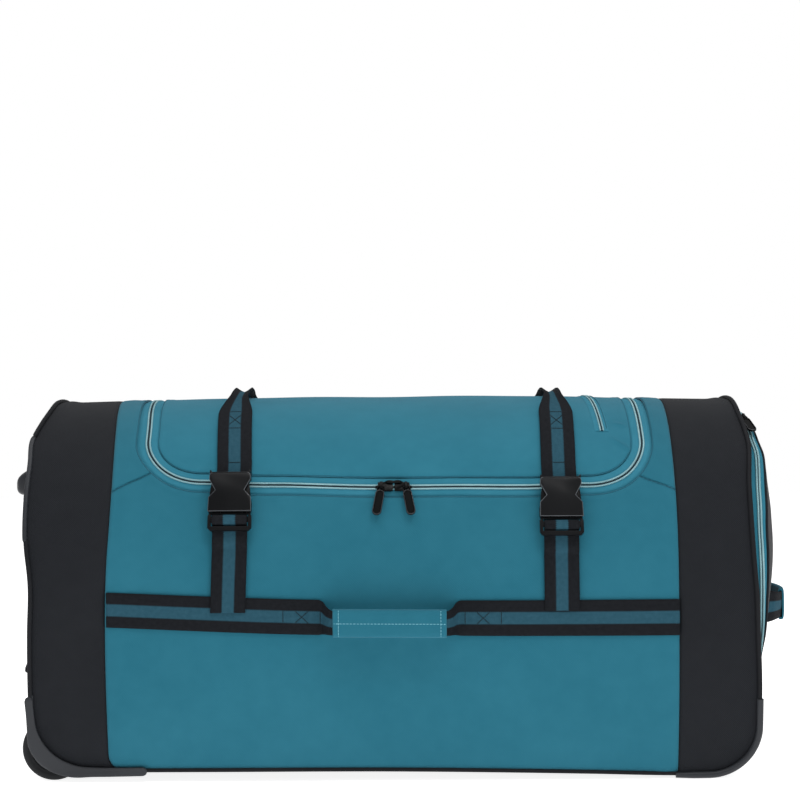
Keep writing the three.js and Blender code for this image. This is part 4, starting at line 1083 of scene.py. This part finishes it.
def pull_tab(name, axes, node_name, body):
    """A zip pull: a rounded bar with a sunk face, hung on a wire eye."""
    bm = bmesh.new()
    bmesh.ops.create_circle(bm, cap_ends=True, segments=28, radius=PULL["half"])
    for vert in bm.verts:
        vert.co.y += PULL["top"] if vert.co.y > 0.01 else PULL["tip"]
        vert.co.z = PULL["low"]
    face = bm.faces[:][0]
    if face.normal.z > 0:
        face.normal_flip()
    grown = bmesh.ops.extrude_face_region(bm, geom=[face], use_keep_orig=True)["geom"]
    top = [part for part in grown if isinstance(part, bmesh.types.BMFace)]
    bmesh.ops.translate(bm, verts=list({v for f in top for v in f.verts}), vec=(0, 0, PULL["thick"]))
    bmesh.ops.recalc_face_normals(bm, faces=bm.faces)
    bmesh.ops.inset_region(bm, faces=top, thickness=0.3, depth=0.5)
    # The raised ring round the sunk face takes the second, lighter material: a painted highlight along the
    # rim.
    rim = bmesh.ops.inset_region(bm, faces=top, thickness=0.4, depth=0.2)["faces"]
    for face in rim:
        face.material_index = 1
    bmesh.ops.inset_region(bm, faces=top, thickness=0.5, depth=-0.2)
    bmesh.ops.inset_region(bm, faces=top, thickness=0.4, depth=-1.0)
    set_in(axes, bm.verts)
    corner = np.linspace(0, np.pi / 2, 9)
    half, bend, foot = EYE["half"], EYE["bend"], EYE["foot"]
    left = np.stack([bend - half - bend * np.cos(corner), EYE["head"] + bend * np.sin(corner)], -1)
    wire = np.concatenate([[[-half, foot]], left, left[::-1] * [-1, 1], [[half, foot]]])
    wire = np.concatenate([wire, np.full((len(wire), 1), PULL["low"] + EYE["up"])], 1)
    path, _ = resample(in_frame(axes, wire), 0.5)
    tube(bm, path, np.tile(axes[:, 2], (len(path), 1)), EYE["r"], 8)
    bmesh.ops.remove_doubles(bm, verts=bm.verts, dist=TUBE_WELD)
    tab = dress(new_piece(name, bm, 50), DARK_METAL, [node_name], body)
    # The second material is the rim's painted highlight.
    tab.data.materials.append(PAINTED_RIM_HIGHLIGHT[0])


def slider_bridge(name, axes, side):
    """The arched bridge over a slider, which its pull hangs on."""
    t = np.linspace(0, 1, 22)
    a = side * (BRIDGE["from"] - BRIDGE["long"] * t)
    arch = np.sin(np.pi * np.clip(t * 0.62 + 0.04, 0, 1))
    inward = np.clip((-a * side - 4.5) / 3, 0, 1)
    high = BRIDGE["up"] + np.sin(np.pi * t) + BRIDGE["step"] * inward
    path = in_frame(axes, np.stack([a, BRIDGE["low"] + BRIDGE["arch"] * arch, high], -1))
    bm = bmesh.new()
    tube(bm, path, np.tile(axes[:, 2], (len(path), 1)), BRIDGE["r"], 10)
    dress(close_tubes(name, bm), DARK_METAL)


def sliders():
    for name, side in ENDS.items():
        body = moulded(f"main_slider_{name}", f"main_zip_slider_{name}", 0.9, 3)
        dress(body, DARK_METAL, [f"main_zip_slider_{name}"])
        axes = frame_on(side * SLIDER_X, ZIP_S, 0)
        slider_bridge(f"main_slider_bridge_{name}", axes, side)
        pull = turned(axes, side * PULL_SPLAY)
        pull_tab(f"main_pull_tab_{name}", pull, f"main_zip_pull_{name}", f"main_pull_{name}")
    corners = taken(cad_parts["lid_zip_slider"].data.vertices)
    s = GIRTH - float(girth_at(LID_ZIP["x"], LID_ZIP["z"])) - LID_SLIDER["in"]
    moved = on_skin(lid_zip_x(s), s, LID_SLIDER["out"]) - (corners.min(0) + corners.max(0)) / 2
    dress(moulded("lid_slider", "lid_zip_slider", 0.5, 3, moved), DARK_METAL, ["lid_zip_slider"])
    dress(moulded("pocket_slider", "end_pocket_slider", 0.5, 3), DARK_METAL, ["end_pocket_slider"])
    pull = turned(pocket_slider_frame(), POCKET_PULL_SPLAY)
    pull_tab("pocket_pull_tab", pull, "end_pocket_pull", "end_pull")


# Webbing, handles and straps
def webbing_point(x, w, out):
    """Point of the near webbing: w across it from -1 to 1, out from its inner face."""
    off = np.abs(x - HANDLE["x"]) / HANDLE["start"]
    lift = np.where(off < 1, np.maximum(read(HANDLE_LIFT, "at", "lift", off), 0), 0)
    share = np.minimum(lift / HANDLE["lift"], 1)
    z = read(BAND, "x", "z", x)
    flat = on_skin(x, girth_at(x, z) + w * WEB["half"], WEB["low"] + out * WEB["thick"])
    face = -MIDDLE["half"] - WEB["low"]
    free = np.stack([x, face - lift - out * HANDLE["thick"], z - HANDLE["droop"] + w * HANDLE["half"]], -1)
    return flat + (free - flat) * share[:, None]


def sleeve_ring(u, v, mouth):
    """A padded sleeve drawn in at its mouths: share along it, then share of its depth and height."""
    t = np.clip((u - mouth["long"]) / (1 - 2 * mouth["long"]), 0, 1)
    lip = np.clip(np.minimum(u, 1 - u) / mouth["long"], 0, 1)
    size = mouth["high"] + (1 - mouth["high"]) * np.sqrt(1 - (1 - lip) ** 2)
    depth = np.minimum(size, mouth["deep"] + (1 - mouth["deep"]) * lip)
    angle = 2 * np.pi * v
    return t, squared(np.cos(angle), 0.5) * depth, squared(np.sin(angle), 0.5) * size


def near_webbing():
    fine = np.linspace(BAND["x"][0], BAND["x"][-1], 2400)
    middle = webbing_point(fine, 0 * fine, 1)
    run = lengths(middle)

    def place(u, v):
        x = np.interp(u, BAND_COLUMNS["u"], BAND_COLUMNS["x"])
        w = 2 * v - 1
        return webbing_point(x, w, 1), np.stack([np.interp(x, fine, run), w * WEB["half"]], -1)

    web = laid("near_web", 260, 12, place, WEB["thick"])
    sewn(dress(web, WEBBING, ["near_webbing"]))

    def sleeve(u, v):
        t, deep, high = sleeve_ring(u, v, GRIP_MOUTH)
        x = HANDLE["x"] + HANDLE["grip"] * (2 * t - 1)
        points = webbing_point(x, 0 * x, 0.5)
        points[:, 1] += GRIP["deep"] * deep
        points[:, 2] += GRIP["high"] * high
        return points, np.stack([x, 40 * np.pi * v], -1)

    grip = laid("near_grip_sleeve", 90, 48, sleeve, weld=True)
    dress(grip, TEAL_CLOTH, ["near_grip"])


def far_webbing():
    def place(u, v):
        x = -SEAM_X + GAP + 2 * (SEAM_X - GAP) * u
        w = (2 * v - 1) * WEB["half"]
        s = GIRTH - girth_at(x, np.full(len(x), float(FAR_BAND_Z))) + w
        return on_skin(x, s, WEB["low"] + WEB["thick"]), np.stack([x, w], -1)

    band = laid("far_web", 120, 10, place, WEB["thick"])
    sewn(dress(band, WEBBING, ["far_webbing"]))


def smooth_path(points, step):
    """A curve through points, taken at an even step."""
    points = np.asarray(points, float)
    knots = {"t": np.arange(len(points), dtype=float)}
    for c in range(3):
        knots[c] = points[:, c]
    fine = np.linspace(0, len(points) - 1, 40 * len(points))
    return resample(np.stack([read(knots, "t", c, fine) for c in range(3)], -1), step)


def buckle_frame(name):
    x, z = BUCKLES[name]
    return frame_on(float(x), float(girth_at(x, z - BUCKLE_DROP)), BUCKLE_STAND)


def lower_strap(name):
    x, _ = BUCKLES[name]
    threaded = in_frame(buckle_frame(name), [(0, b, c) for b, c in THREADING])
    start = float(girth_at(x, STRAP_END_Z))
    stop = float(girth_at(x, threaded[0, 2])) - 6
    s = np.linspace(start, stop, 8)
    flat = on_skin(np.full(len(s), float(x)), s, WEB["over"] + WEB["thick"] / 2)
    path, run = smooth_path(np.concatenate([flat, threaded]), 1.6)
    normal = unit(np.cross(ALONG, np.gradient(path, axis=0)))
    lean = STRAP_LEAN[name] * np.clip((path[:, 2] - STRAP_LEAN_Z) / (STRAP_END_Z - STRAP_LEAN_Z), 0, 1)
    last = len(path) - 1

    def place(u, v):
        i = np.rint(v * last).astype(int)
        w = (2 * u - 1) * WEB["half"]
        points = path[i] + normal[i] * (WEB["thick"] / 2)
        points[:, 0] += w + lean[i]
        return points, np.stack([run[i], w], -1)

    strap = laid(f"lower_strap_{name}", 10, last, place, WEB["thick"])
    sewn(dress(strap, WEBBING, [f"strap_lower_{name}"]))


def strap_point(name, s, w, out):
    """Point of an upper strap: s along the girth, w across it from -1 to 1, folded up over the crown."""
    x, _ = BUCKLES[name]
    away = np.abs(s - HALF_GIRTH)
    loop = np.cos(np.minimum(away / LOOP["reach"], 1) * np.pi / 2) ** 2
    fold = np.clip((LOOP["fold"] - away) / LOOP["over"], 0, 1)
    fold = fold * fold * (3 - 2 * fold)
    low, high = UPPER_LEAN[name]
    run = HALF_GIRTH - LOOP["fold"] - UPPER_LEAN_S
    lean = low + (high - low) * np.clip((s - UPPER_LEAN_S) / run, 0, 1)
    lean = lean + (CROWN_LEAN - lean) * loop
    edge = LOOP["edge"] * fold * np.abs(w) ** LOOP["curl"]
    lift = WEB["over"] + out + LOOP_LIFT[name] * loop + edge
    return on_skin(x + lean + w * (WEB["half"] - LOOP["narrow"] * fold), s, lift)


def upper_strap(name):
    x, _ = BUCKLES[name]
    start = in_frame(buckle_frame(name), [(0, BUCKLE_TOP - 9, 0)])[0]
    low = float(girth_at(x, start[2]))
    high = GIRTH - float(girth_at(x, STRAP_END_Z))

    def place(u, v):
        s = low + (high - low) * v
        w = 2 * u - 1
        return strap_point(name, s, w, WEB["thick"]), np.stack([s, w * WEB["half"]], -1)

    strap = laid(f"upper_strap_{name}", 16, 240, place, WEB["thick"])
    sewn(dress(strap, WEBBING, [f"strap_upper_{name}"]))


def cut_plate(bm, axes, outline, low, high, rim=False):
    """Adds a flat moulding of that outline in a frame, its edges rounded, with a painted highlight on the
    rounding of its top edges or without.
    """
    verts = [bm.verts.new((a, b, low)) for a, b in outline]
    face = bm.faces.new(verts)
    grown = bmesh.ops.extrude_face_region(bm, geom=[face], use_keep_orig=True)["geom"]
    top = [part for part in grown if isinstance(part, bmesh.types.BMVert)]
    bmesh.ops.translate(bm, verts=top, vec=(0, 0, high - low))
    made = verts + top
    faces = list({f for vert in made for f in vert.link_faces})
    bmesh.ops.recalc_face_normals(bm, faces=faces)
    edges = list({edge for vert in made for edge in vert.link_edges})
    rounded = bmesh.ops.bevel(
        bm,
        geom=edges,
        offset=BUCKLE_ROUND,
        segments=2,
        profile=0.5,
        affect="EDGES",
        clamp_overlap=True,
        material=-1,
    )
    whole = set(rounded["verts"])
    for face in rounded["faces"]:
        whole.update(vert for edge in face.edges for f in edge.link_faces for vert in f.verts)
        # The rounding along the top face takes the lighter material: a painted highlight.
        if rim and face.calc_center_median().z > high - BUCKLE_ROUND:
            face.material_index = 1
    set_in(axes, whole)


def buckle_trim(name):
    """The buckle's cut face, the prongs' shoulders in its sides, the lugs at its corners and its rim."""
    axes = buckle_frame(name)
    bm = bmesh.new()
    face = BUCKLE_FACE + [(-a, b) for a, b in reversed(BUCKLE_FACE)]
    cut_plate(bm, axes, face, *BUCKLE_LAYERS["face"], rim=True)
    for side in (-1, 1):
        for outline, layer in ((BUCKLE_SHOULDER, "shoulder"), (BUCKLE_LUG, "lug")):
            cut_plate(bm, axes, [(side * a, b) for a, b in outline], *BUCKLE_LAYERS[layer])
    cut_plate(bm, axes, BUCKLE_BAR, *BUCKLE_LAYERS["bar"])
    trim = dress(new_piece(f"buckle_trim_{name}", bm, 40), BUCKLE_PLASTIC)
    # The second material is the painted highlight on the face's top edges.
    trim.data.materials.append(BUCKLE_PAINTED_HIGHLIGHT[0])


def straps():
    for name, (x, z) in BUCKLES.items():
        lower_strap(name)
        upper_strap(name)
        solid_x = math.copysign(STRAP_X, x)
        solid_at = frame_on(solid_x, float(girth_at(solid_x, z)), BUCKLE_STAND)[:, 3]
        moved = buckle_frame(name)[:, 3] - solid_at
        for half in ("top", "base"):
            part = moulded(f"buckle_{half}_half_{name}", f"buckle_{half}_{name}", 1.0, 3, moved)
            dress(part, BUCKLE_PLASTIC, [f"buckle_{half}_{name}"])
        buckle_trim(name)


# End pocket and end handle
POCKET_S = float(girth_at(END_X[1], POCKET["z"]))
POCKET_TOP = float(skin(END_X[1], HALF_GIRTH)[2] - POCKET_INSET["in"][-1] - POCKET["flare"])


def pocket_outline(s, share):
    """The pocket's outline in the end's plane, share of the way up its gusset."""
    at = skin(END_X[1], s)
    inset = read(POCKET_INSET, "z", "in", at[..., 2]) + POCKET["flare"] * share
    return at - skin_normal(END_X[1], s) * np.asarray(inset, float)[..., None]


def pocket_height(z):
    return read(POCKET_HIGH, "z", "high", z)


def pocket_bulge(z):
    return read(POCKET_BULGE, "z", "out", z) * np.clip((POCKET_TOP - z) / POCKET["fade"], 0, 1)


def pocket_rim(z):
    """Where the pocket's gusset ends at height z."""
    return end_reach(1, z) + 2 * GAP + pocket_height(z)


def pocket_wall(s, share, out):
    at = pocket_outline(s, share)
    at = at + skin_normal(END_X[1], s) * np.asarray(out + 0 * s, float)[..., None]
    z = skin(END_X[1], s)[..., 2]
    at[..., 0] = end_reach(1, z) + GAP + pocket_height(z) * share
    return at


def pocket_front(y, z):
    s = girth_at(END_X[1], z)
    edge = pocket_outline(s, 1)[..., 1]
    across = 1 - np.minimum((y / edge) ** 2, 1)
    return pocket_rim(z) + CLOTH + pocket_bulge(z) * across


def pocket_slider_frame():
    """Frame of the pocket's pull at its joint: a out of the end, b up the gusset and c out of it."""
    z = np.array([POCKET_SLIDER["z"]])
    s = girth_at(END_X[1], z)
    c = skin_normal(END_X[1], s)[0]
    joint = np.array([POCKET_SLIDER["x"], POCKET_SLIDER["y"], POCKET_SLIDER["z"]])
    return axes_at(c, joint - POCKET_SLIDER["out"] * c)


def end_pocket():
    def gusset(u, v):
        s = POCKET_S + (GIRTH - 2 * POCKET_S) * u
        return pocket_wall(s, v, 0.0), np.stack([s, pocket_height(skin(END_X[1], s)[:, 2]) * v], -1)

    band = laid("pocket_gusset", 160, 8, gusset, POCKET["gusset"], turn=True)
    sewn(dress(band, TAPE_CLOTH, ["end_pocket_zip_band"]))
    s = np.linspace(POCKET_S, GIRTH - POCKET_S, 300)
    path = pocket_wall(s, POCKET["coil"], POCKET["coil_out"])
    normal = skin_normal(END_X[1], s)
    coil_rows("end_coil", path, normal, ["end_pocket_zip_coil"], **COIL_ROWS["end"])

    def front(u, v):
        s = POCKET_S + (HALF_GIRTH - POCKET_S) * v
        at = pocket_outline(s, 1)
        w = 1 - 2 * u
        z = skin(END_X[1], s)[:, 2]
        at[:, 0] = pocket_rim(z) + CLOTH + pocket_bulge(at[:, 2]) * (1 - w * w)
        at[:, 1] = at[:, 1] * w
        return at, np.stack([at[:, 1], s], -1)

    panel = laid("pocket_front_cloth", 60, 70, front, CLOTH, weld=True)
    sewn(dress(panel, BLACK_CLOTH, ["end_pocket_panel"]))


def end_handle_point(y, w, out):
    """Point of the end handle: w across it from -1 to 1, narrower where it goes into its grip."""
    off = np.abs(y)
    share = np.where(off < END_HANDLE["start"], read(END_LOOP, "y", "share", off), 0)
    share = np.clip(share, 0, 1)
    narrow = END_HANDLE["narrow"] * np.minimum(END_HANDLE["ahead"] * share, 1)
    z = END_HANDLE["z"] + w * (WEB["half"] - narrow)
    flat = pocket_front(y, z) + GAP + END_HANDLE["over"]
    return np.stack([flat + (END_HANDLE["x"] - flat) * share + out, y, z], -1)


def end_handle():
    fine = np.linspace(-END_HANDLE["tab"], END_HANDLE["tab"], 800)
    middle = end_handle_point(fine, 0 * fine, WEB["thick"])
    run = lengths(middle)

    def place(u, v):
        y = END_HANDLE["tab"] * (2 * u - 1)
        w = 2 * v - 1
        flat = np.stack([np.interp(y, fine, run), w * WEB["half"]], -1)
        return end_handle_point(y, w, WEB["thick"]), flat

    web = laid("end_handle_web", 120, 10, place, WEB["thick"])
    sewn(dress(web, WEBBING, ["end_handle"]))

    def sleeve(u, v):
        t, deep, high = sleeve_ring(u, v, END_MOUTH)
        y = END_GRIP["half"] * (2 * t - 1)
        points = end_handle_point(y, 0 * y, WEB["thick"] / 2)
        points[:, 0] += END_GRIP["deep"] * deep
        points[:, 2] += END_GRIP["high"] * high
        return points, np.stack([y, 40 * np.pi * v], -1)

    grip = laid("end_grip_sleeve", 60, 40, sleeve, weld=True)
    dress(grip, TEAL_CLOTH, ["end_handle_grip"])


# Wheels, guards and feet
def turned_ring(name, profile, centre):
    """A ring turned about an axle along Y from its profile of radius and width."""
    bm = bmesh.new()
    verts = [bm.verts.new((radius, y, 0)) for radius, y in profile]
    edges = [bm.edges.new((a, b)) for a, b in zip(verts, verts[1:] + verts[:1])]
    bmesh.ops.spin(
        bm,
        geom=verts + edges,
        cent=(0, 0, 0),
        axis=(0, 1, 0),
        angle=2 * math.pi,
        steps=WHEEL["steps"],
        use_merge=True,
    )
    bmesh.ops.recalc_face_normals(bm, faces=bm.faces)
    for vert in bm.verts:
        vert.co = put(np.array(vert.co) + centre)
    return new_piece(name, bm, 35)


def wheels():
    r, rim, half, bore = WHEEL["r"], WHEEL["rim"], WHEEL["half"], WHEEL["bore"]
    edge = WHEEL["edge"]
    shoulder = np.linspace(0, np.pi / 2, 6)
    round_edge = [(r - edge + edge * math.sin(a), -half + edge - edge * math.cos(a)) for a in shoulder]
    tread = round_edge + [(r - deep, y) for deep, y in TREAD_GROOVE]
    tread = tread + [(radius, -y) for radius, y in reversed(tread)]
    side_step = [(rim, -half + 1), (rim + 1.5, -half + 0.4), (rim + 3, -half + 0.4), (rim + 3.6, -half)]
    tyre = side_step + tread + [(radius, -y) for radius, y in reversed(side_step)]
    face = half - 1
    dish = [(bore, -face), (9, -face), (9.8, -face + 0.8), (10.4, -face + 4), (18.6, -face + 4)]
    dish = dish + [(19.4, -face + 0.8), (20.2, -face), (rim - GAP - 0.5, -face), (rim - GAP, -face + 0.5)]
    hub = dish + [(radius, -y) for radius, y in reversed(dish)]
    for name, side in SIDES.items():
        centre = np.array([WHEEL["x"], side * WHEEL["y"], WHEEL["r"]])
        body = f"wheel_{name}"
        dress(turned_ring(f"{name}_tyre", tyre, centre), RUBBER, [f"wheel_{name}_tyre"], body)
        dress(turned_ring(f"{name}_hub", hub, centre), MOULDING, [f"wheel_{name}_hub"], body)
        dress(moulded(f"{name}_axle", f"wheel_axle_{name}", 0.4), STEEL, [f"wheel_axle_{name}"])
        housing = moulded(f"{name}_housing", f"wheel_housing_{name}", 0.6)
        trim_flange(housing)
        dress(housing, MOULDING, [f"wheel_housing_{name}"])
        guard_lip(name, side)


def trim_flange(piece):
    """Draws a housing's flange in under the rounded lip that covers it."""
    r = CORNER[-1]
    base = base_of(-1)
    keep = GUARD["flange"]
    verts = piece.data.vertices
    at = taken(verts)
    flange = np.abs(at[:, 1]) >= half_width(at[:, 0], at[:, 2]) - 0.5
    across = at[:, 0] + END_X[-1] - r
    up = at[:, 2] - base - r
    corner = (across < 0) & (up < 0)
    grow = np.maximum(1, (r - keep) / np.maximum(np.hypot(across, up), 1))
    new_across = np.where(corner, across * grow, np.where(up < 0, across, np.minimum(across, keep - r)))
    new_up = np.where(corner, up * grow, np.where(up < 0, np.minimum(up, keep - r), up))
    moved = np.stack([new_across - END_X[-1] + r, at[:, 1], new_up + base + r], -1)
    for i in np.nonzero(flange)[0]:
        verts[int(i)].co = put(moved[i])


def guard_lip(name, side):
    """The guard's rounded lip along the lower left corner, over the housing's flat flange."""
    path, way = corner_path(-1, GUARD["x"], GUARD["z"], 26)
    run = lengths(path)
    tip = GUARD["tip"]
    ends = np.array([path[0] + [tip, 0], path[-1] + [0, tip]])

    def place(u, v):
        along = -tip + (run[-1] + 2 * tip) * u
        at = np.clip(along, 0, run[-1])
        spot = np.stack([np.interp(at, run, path[:, c]) for c in range(2)], -1)
        out = unit(np.stack([np.interp(at, run, way[:, c]) for c in range(2)], -1))
        beyond = np.abs(along - at) / tip
        spot = spot + (np.where((u < 0.5)[:, None], ends[0], ends[1]) - spot) * beyond[:, None]
        close = np.sqrt(np.maximum(1 - beyond**2, 0))
        inside = read(GUARD_EDGE, "at", "inside", at / run[-1])
        outside = read(GUARD_EDGE, "at", "outside", at / run[-1])
        angle = 2 * np.pi * v
        reach = (outside - inside) / 2 + (outside + inside) / 2 * squared(np.cos(angle), 0.6) * close
        spot = spot + out * reach[:, None]
        y = half_width(spot[:, 0], np.maximum(spot[:, 1], 0)) + GUARD["stand"]
        y = y + GUARD["half"] * squared(np.sin(angle), 0.6) * close
        return np.stack([spot[:, 0], side * y, spot[:, 1]], -1), np.stack([along, 8 * angle], -1)

    lip = laid(f"{name}_guard_lip", 150, 28, place, turn=side > 0, weld=True)
    dress(lip, MOULDING)


def foot_plate(name, side):
    """The moulded plate over the upper edge of the left end, with its foot."""
    def plate(u, v):
        z = PLATE["from"] + (PLATE["to"] - PLATE["from"]) * u
        beyond = np.clip(np.abs(2 * u - 1) * PLATE["ends"] - (PLATE["ends"] - 1), 0, 1)
        close = np.sqrt(np.maximum(1 - beyond**2, 0))
        angle = 2 * np.pi * v
        cos = squared(np.round(np.cos(angle), 9), 0.4)
        sin = squared(np.round(np.sin(angle), 9), 0.12)
        x = end_reach(-1, z) + PLATE["thick"] / 2 + (PLATE["thick"] / 2) * cos * close
        outer = half_width(np.full(len(z), -END_X[-1]), z) + PLATE["over"]
        middle = (outer + PLATE["inner"]) / 2
        y = middle + (outer - PLATE["inner"]) / 2 * sin * (0.9 + 0.1 * close)
        return np.stack([-x, side * y, z], -1), np.stack([z, 20 * angle], -1)

    made = laid(f"{name}_foot_moulding", 60, 64, plate, turn=side < 0, weld=True)
    dress(made, MOULDING, [f"foot_plate_{name}"])

    def foot(u, v):
        angle = 2 * np.pi * v
        root = -float(end_reach(-1, np.array(FOOT["z"]))) - FOOT["root"]
        x = root + (FOOT["tip"] - root) * u
        close = np.sqrt(np.maximum(1 - u ** FOOT_TAPER["blunt"], 0))
        wide = FOOT["half_y"] * close * (1 - FOOT_TAPER["wide"] * u)
        high = FOOT["half"] * close * (1 - FOOT_TAPER["high"] * u)
        y = FOOT["y"] + wide * squared(np.cos(angle), 0.6)
        z = FOOT["z"] + (FOOT["tip_z"] - FOOT["z"]) * u + high * squared(np.sin(angle), 0.5)
        return np.stack([x, side * y, z], -1), np.stack([x, 15 * angle], -1)

    nose = laid(f"{name}_foot_nose", 26, 40, foot, turn=side > 0, weld=True)
    dress(nose, MOULDING)


def corner_guards():
    for name, side in SIDES.items():
        path, way = corner_path(1, SKID["x"], SKID["z"], 24)
        y = half_width(path[:, 0], path[:, 1]) + SKID["out"]
        at = path + way * SKID["out"]
        line = np.stack([at[:, 0], side * y, at[:, 1]], -1)
        out = np.stack([way[:, 0], 0 * y, way[:, 1]], -1)
        ends = np.concatenate([line[:1], line[:1], line, line[-1:], line[-1:]])
        outs = np.concatenate([out[:1], out[:1], out, out[-1:], out[-1:]])
        ends[1] += (line[1] - line[0]) * 0.02
        ends[-2] -= (line[-1] - line[-2]) * 0.02
        last = len(ends) - 1

        def radius(i, angle, last=last):
            taper = SKID["thin"] + (1 - SKID["thin"]) * np.clip(i / SKID["rings"], 0, 1)
            return np.where((i <= 1) | (i >= last - 1), SKID["cap"], 1.0) * taper * SKID["r"]

        bm = bmesh.new()
        tube(bm, ends, outs, radius, 20)
        guard = close_tubes(f"{name}_corner_skid", bm, 50)
        dress(guard, MOULDING, [f"corner_guard_{name}"])
        foot_plate(name, side)


# Stitching
def zip_stitches():
    bm = bmesh.new()
    x, s, nx, ns = zip_line(2.0)
    for d in (-ZIP["gap"] - HEM_STITCH, ZIP["gap"] + HEM_STITCH):
        px = x + nx * d
        ps = s + ns * d
        keep = np.abs(px) < SEAM_X - 4
        out = seams(px[keep], ps[keep])
        px, ps = settled(px[keep], ps[keep])
        stitch(bm, on_skin(px, ps, out), skin_normal(px, ps), *STITCH["hem"])
    for side in (-1, 1):
        t = np.linspace(0.02, 0.97, 30)
        px = side * (DART_X + (SEAM_X - DART_X) * t)
        ps = DART_TOP + (DART_END - DART_TOP) * t - 0.6
        out = seams(px, ps) + 0.6
        px, ps = settled(px, ps)
        stitch(bm, on_skin(px, ps, out), skin_normal(px, ps), *STITCH["dart"])
    # A line of dark thread beside the pocket zip's coil stands in for the shadow line along it: painted
    # shadow.
    start = float(girth_at(LID_ZIP["x"], LID_ZIP["z"]))
    ps = np.linspace(start + 4, GIRTH - start - 4, 120)
    px = lid_zip_x(ps) + 5.8
    stitch(bm, on_skin(px, ps, 0.8), skin_normal(px, ps), *STITCH["lid"])
    dress(close_tubes("body_stitching", bm), DARK_THREAD_AND_SHADOW_LINE)


def cross_stitches():
    """Sewn boxes on the striped webbing, across its middle stripe."""
    bm = bmesh.new()
    w = np.linspace(-WEB["stripe"], WEB["stripe"], BOX_POINTS)

    def line(points, normals):
        stitch(bm, np.asarray(points), np.asarray(normals), *STITCH["box"])

    for name, (x, _) in BUCKLES.items():
        def sew(z, name=name, x=x):
            s = np.asarray(girth_at(x, z + 0 * w), float)
            line(strap_point(name, s, w / WEB["half"], WEB["thick"] + 0.1), skin_normal(x + w, s))

        top = STRAP_SEWN[name]
        for z in (top, top - STRAP_BOX["high"], top - STRAP_BOX["tail"]):
            sew(z)
        for slant in (-1, 1):
            sew(top - STRAP_BOX["high"] / 2 + slant * w * STRAP_BOX["slant"])
    for left, right in WEB_BOXES:
        middle = (left + right) / 2
        crossed = [middle + slant * w * WEB_BOX_SLANT for slant in (-1, 1)]
        for x in (left + 0 * w, right + 0 * w, *crossed):
            points = webbing_point(x, w / WEB["half"], 1.05)
            line(points, skin_normal(x, girth_at(x, points[:, 2])))
    dress(close_tubes("web_stitching", bm), BLACK_THREAD)


def grip_stitches():
    bm = bmesh.new()
    x = np.linspace(HANDLE["x"] - HANDLE["grip"] + 1, HANDLE["x"] + HANDLE["grip"] - 1, 60)
    centre = webbing_point(x, 0 * x, 0.5)
    centre[:, 1] -= GRIP["deep"] - 0.15
    out = np.tile([0.0, -1.0, 0.0], (len(x), 1))
    stitch(bm, centre, out, *STITCH["grip"])
    for at in (HANDLE["x"] - GRIP["seam_x"], HANDLE["x"] + GRIP["seam_x"]):
        z = np.linspace(-GRIP["seam_half"], GRIP["seam_half"], 30)
        point = webbing_point(at + 0 * z, 0 * z, 0.5)
        point[:, 2] += z
        share = np.abs(z) / GRIP["high"]
        point[:, 1] -= GRIP["deep"] * (1 - share**4) ** 0.25 - 0.15
        stitch(bm, point, out[: len(z)], *STITCH["grip_end"])
    dress(close_tubes("grip_stitching", bm), PALE_THREAD)


# Floor, light and camera
def studio():
    bm = bmesh.new()
    bmesh.ops.create_grid(bm, x_segments=8, y_segments=8, size=6)
    floor = new_piece("floor", bm)
    material, tree, shader = new_material("Pale floor")
    shader.inputs["Base Color"].default_value = (0.92, 0.92, 0.92, 1)
    shader.inputs["Roughness"].default_value = 0.9
    shader.inputs["Specular IOR Level"].default_value = 0.1
    shader.inputs["Emission Color"].default_value = (1, 1, 1, 1)
    shader.inputs["Emission Strength"].default_value = 0.85
    floor.data.materials.append(material)
    world = bpy.data.worlds.new("Studio")
    bpy.context.scene.world = world
    world.use_nodes = True
    tree = world.node_tree
    plain = tree.nodes["Background"]
    plain.inputs["Color"].default_value = (1, 1, 1, 1)
    plain.inputs["Strength"].default_value = 0.42
    seen = node(tree, "ShaderNodeBackground", {"Color": (1, 1, 1, 1), "Strength": 1.0})
    path = node(tree, "ShaderNodeLightPath")
    mix = node(tree, "ShaderNodeMixShader", {0: path.outputs["Is Camera Ray"]})
    tree.links.new(plain.outputs[0], mix.inputs[1])
    tree.links.new(seen.outputs[0], mix.inputs[2])
    tree.links.new(mix.outputs[0], tree.nodes["World Output"].inputs["Surface"])
    lamps = [
        ("top_softbox", (0.0, -0.6, 2.6), (0.0, 0.0, 0.2), 2.4, 43),
        ("front_softbox", (0.3, -3.0, 1.5), (0.0, 0.0, 0.2), 2.0, 2),
        ("side_softbox", (2.2, -2.2, 1.2), (0.0, 0.0, 0.2), 1.6, 4),
        ("glint_lamp", (0.7, -1.5, 2.1), (0.0, 0.0, 0.3), 0.25, 5),
    ]
    for name, place, target, size, watts in lamps:
        data = bpy.data.lights.new(name, "AREA")
        data.size = size
        data.energy = watts
        lamp = bpy.data.objects.new(name, data)
        lamp.location = place
        lamp.rotation_euler = (Vector(target) - Vector(place)).to_track_quat("-Z", "Y").to_euler()
        bpy.context.scene.collection.objects.link(lamp)
    bpy.context.scene.view_settings.view_transform = "Standard"


def camera():
    data = bpy.data.cameras.new("camera")
    data.lens = 90
    data.sensor_width = 36
    data.clip_end = 50
    eye = bpy.data.objects.new("camera", data)
    eye.location = (-0.01335, -2.28024, 0.405)
    eye.rotation_euler = (math.pi / 2 - 0.0005, math.radians(0.4), 0)
    bpy.context.scene.collection.objects.link(eye)
    bpy.context.scene.camera = eye


studio()
camera()
body_panels()
piping()
main_zip()
lid_zip()
near_webbing()
far_webbing()
straps()
end_pocket()
end_handle()
sliders()
wheels()
corner_guards()
zip_stitches()
cross_stitches()
grip_stitches()
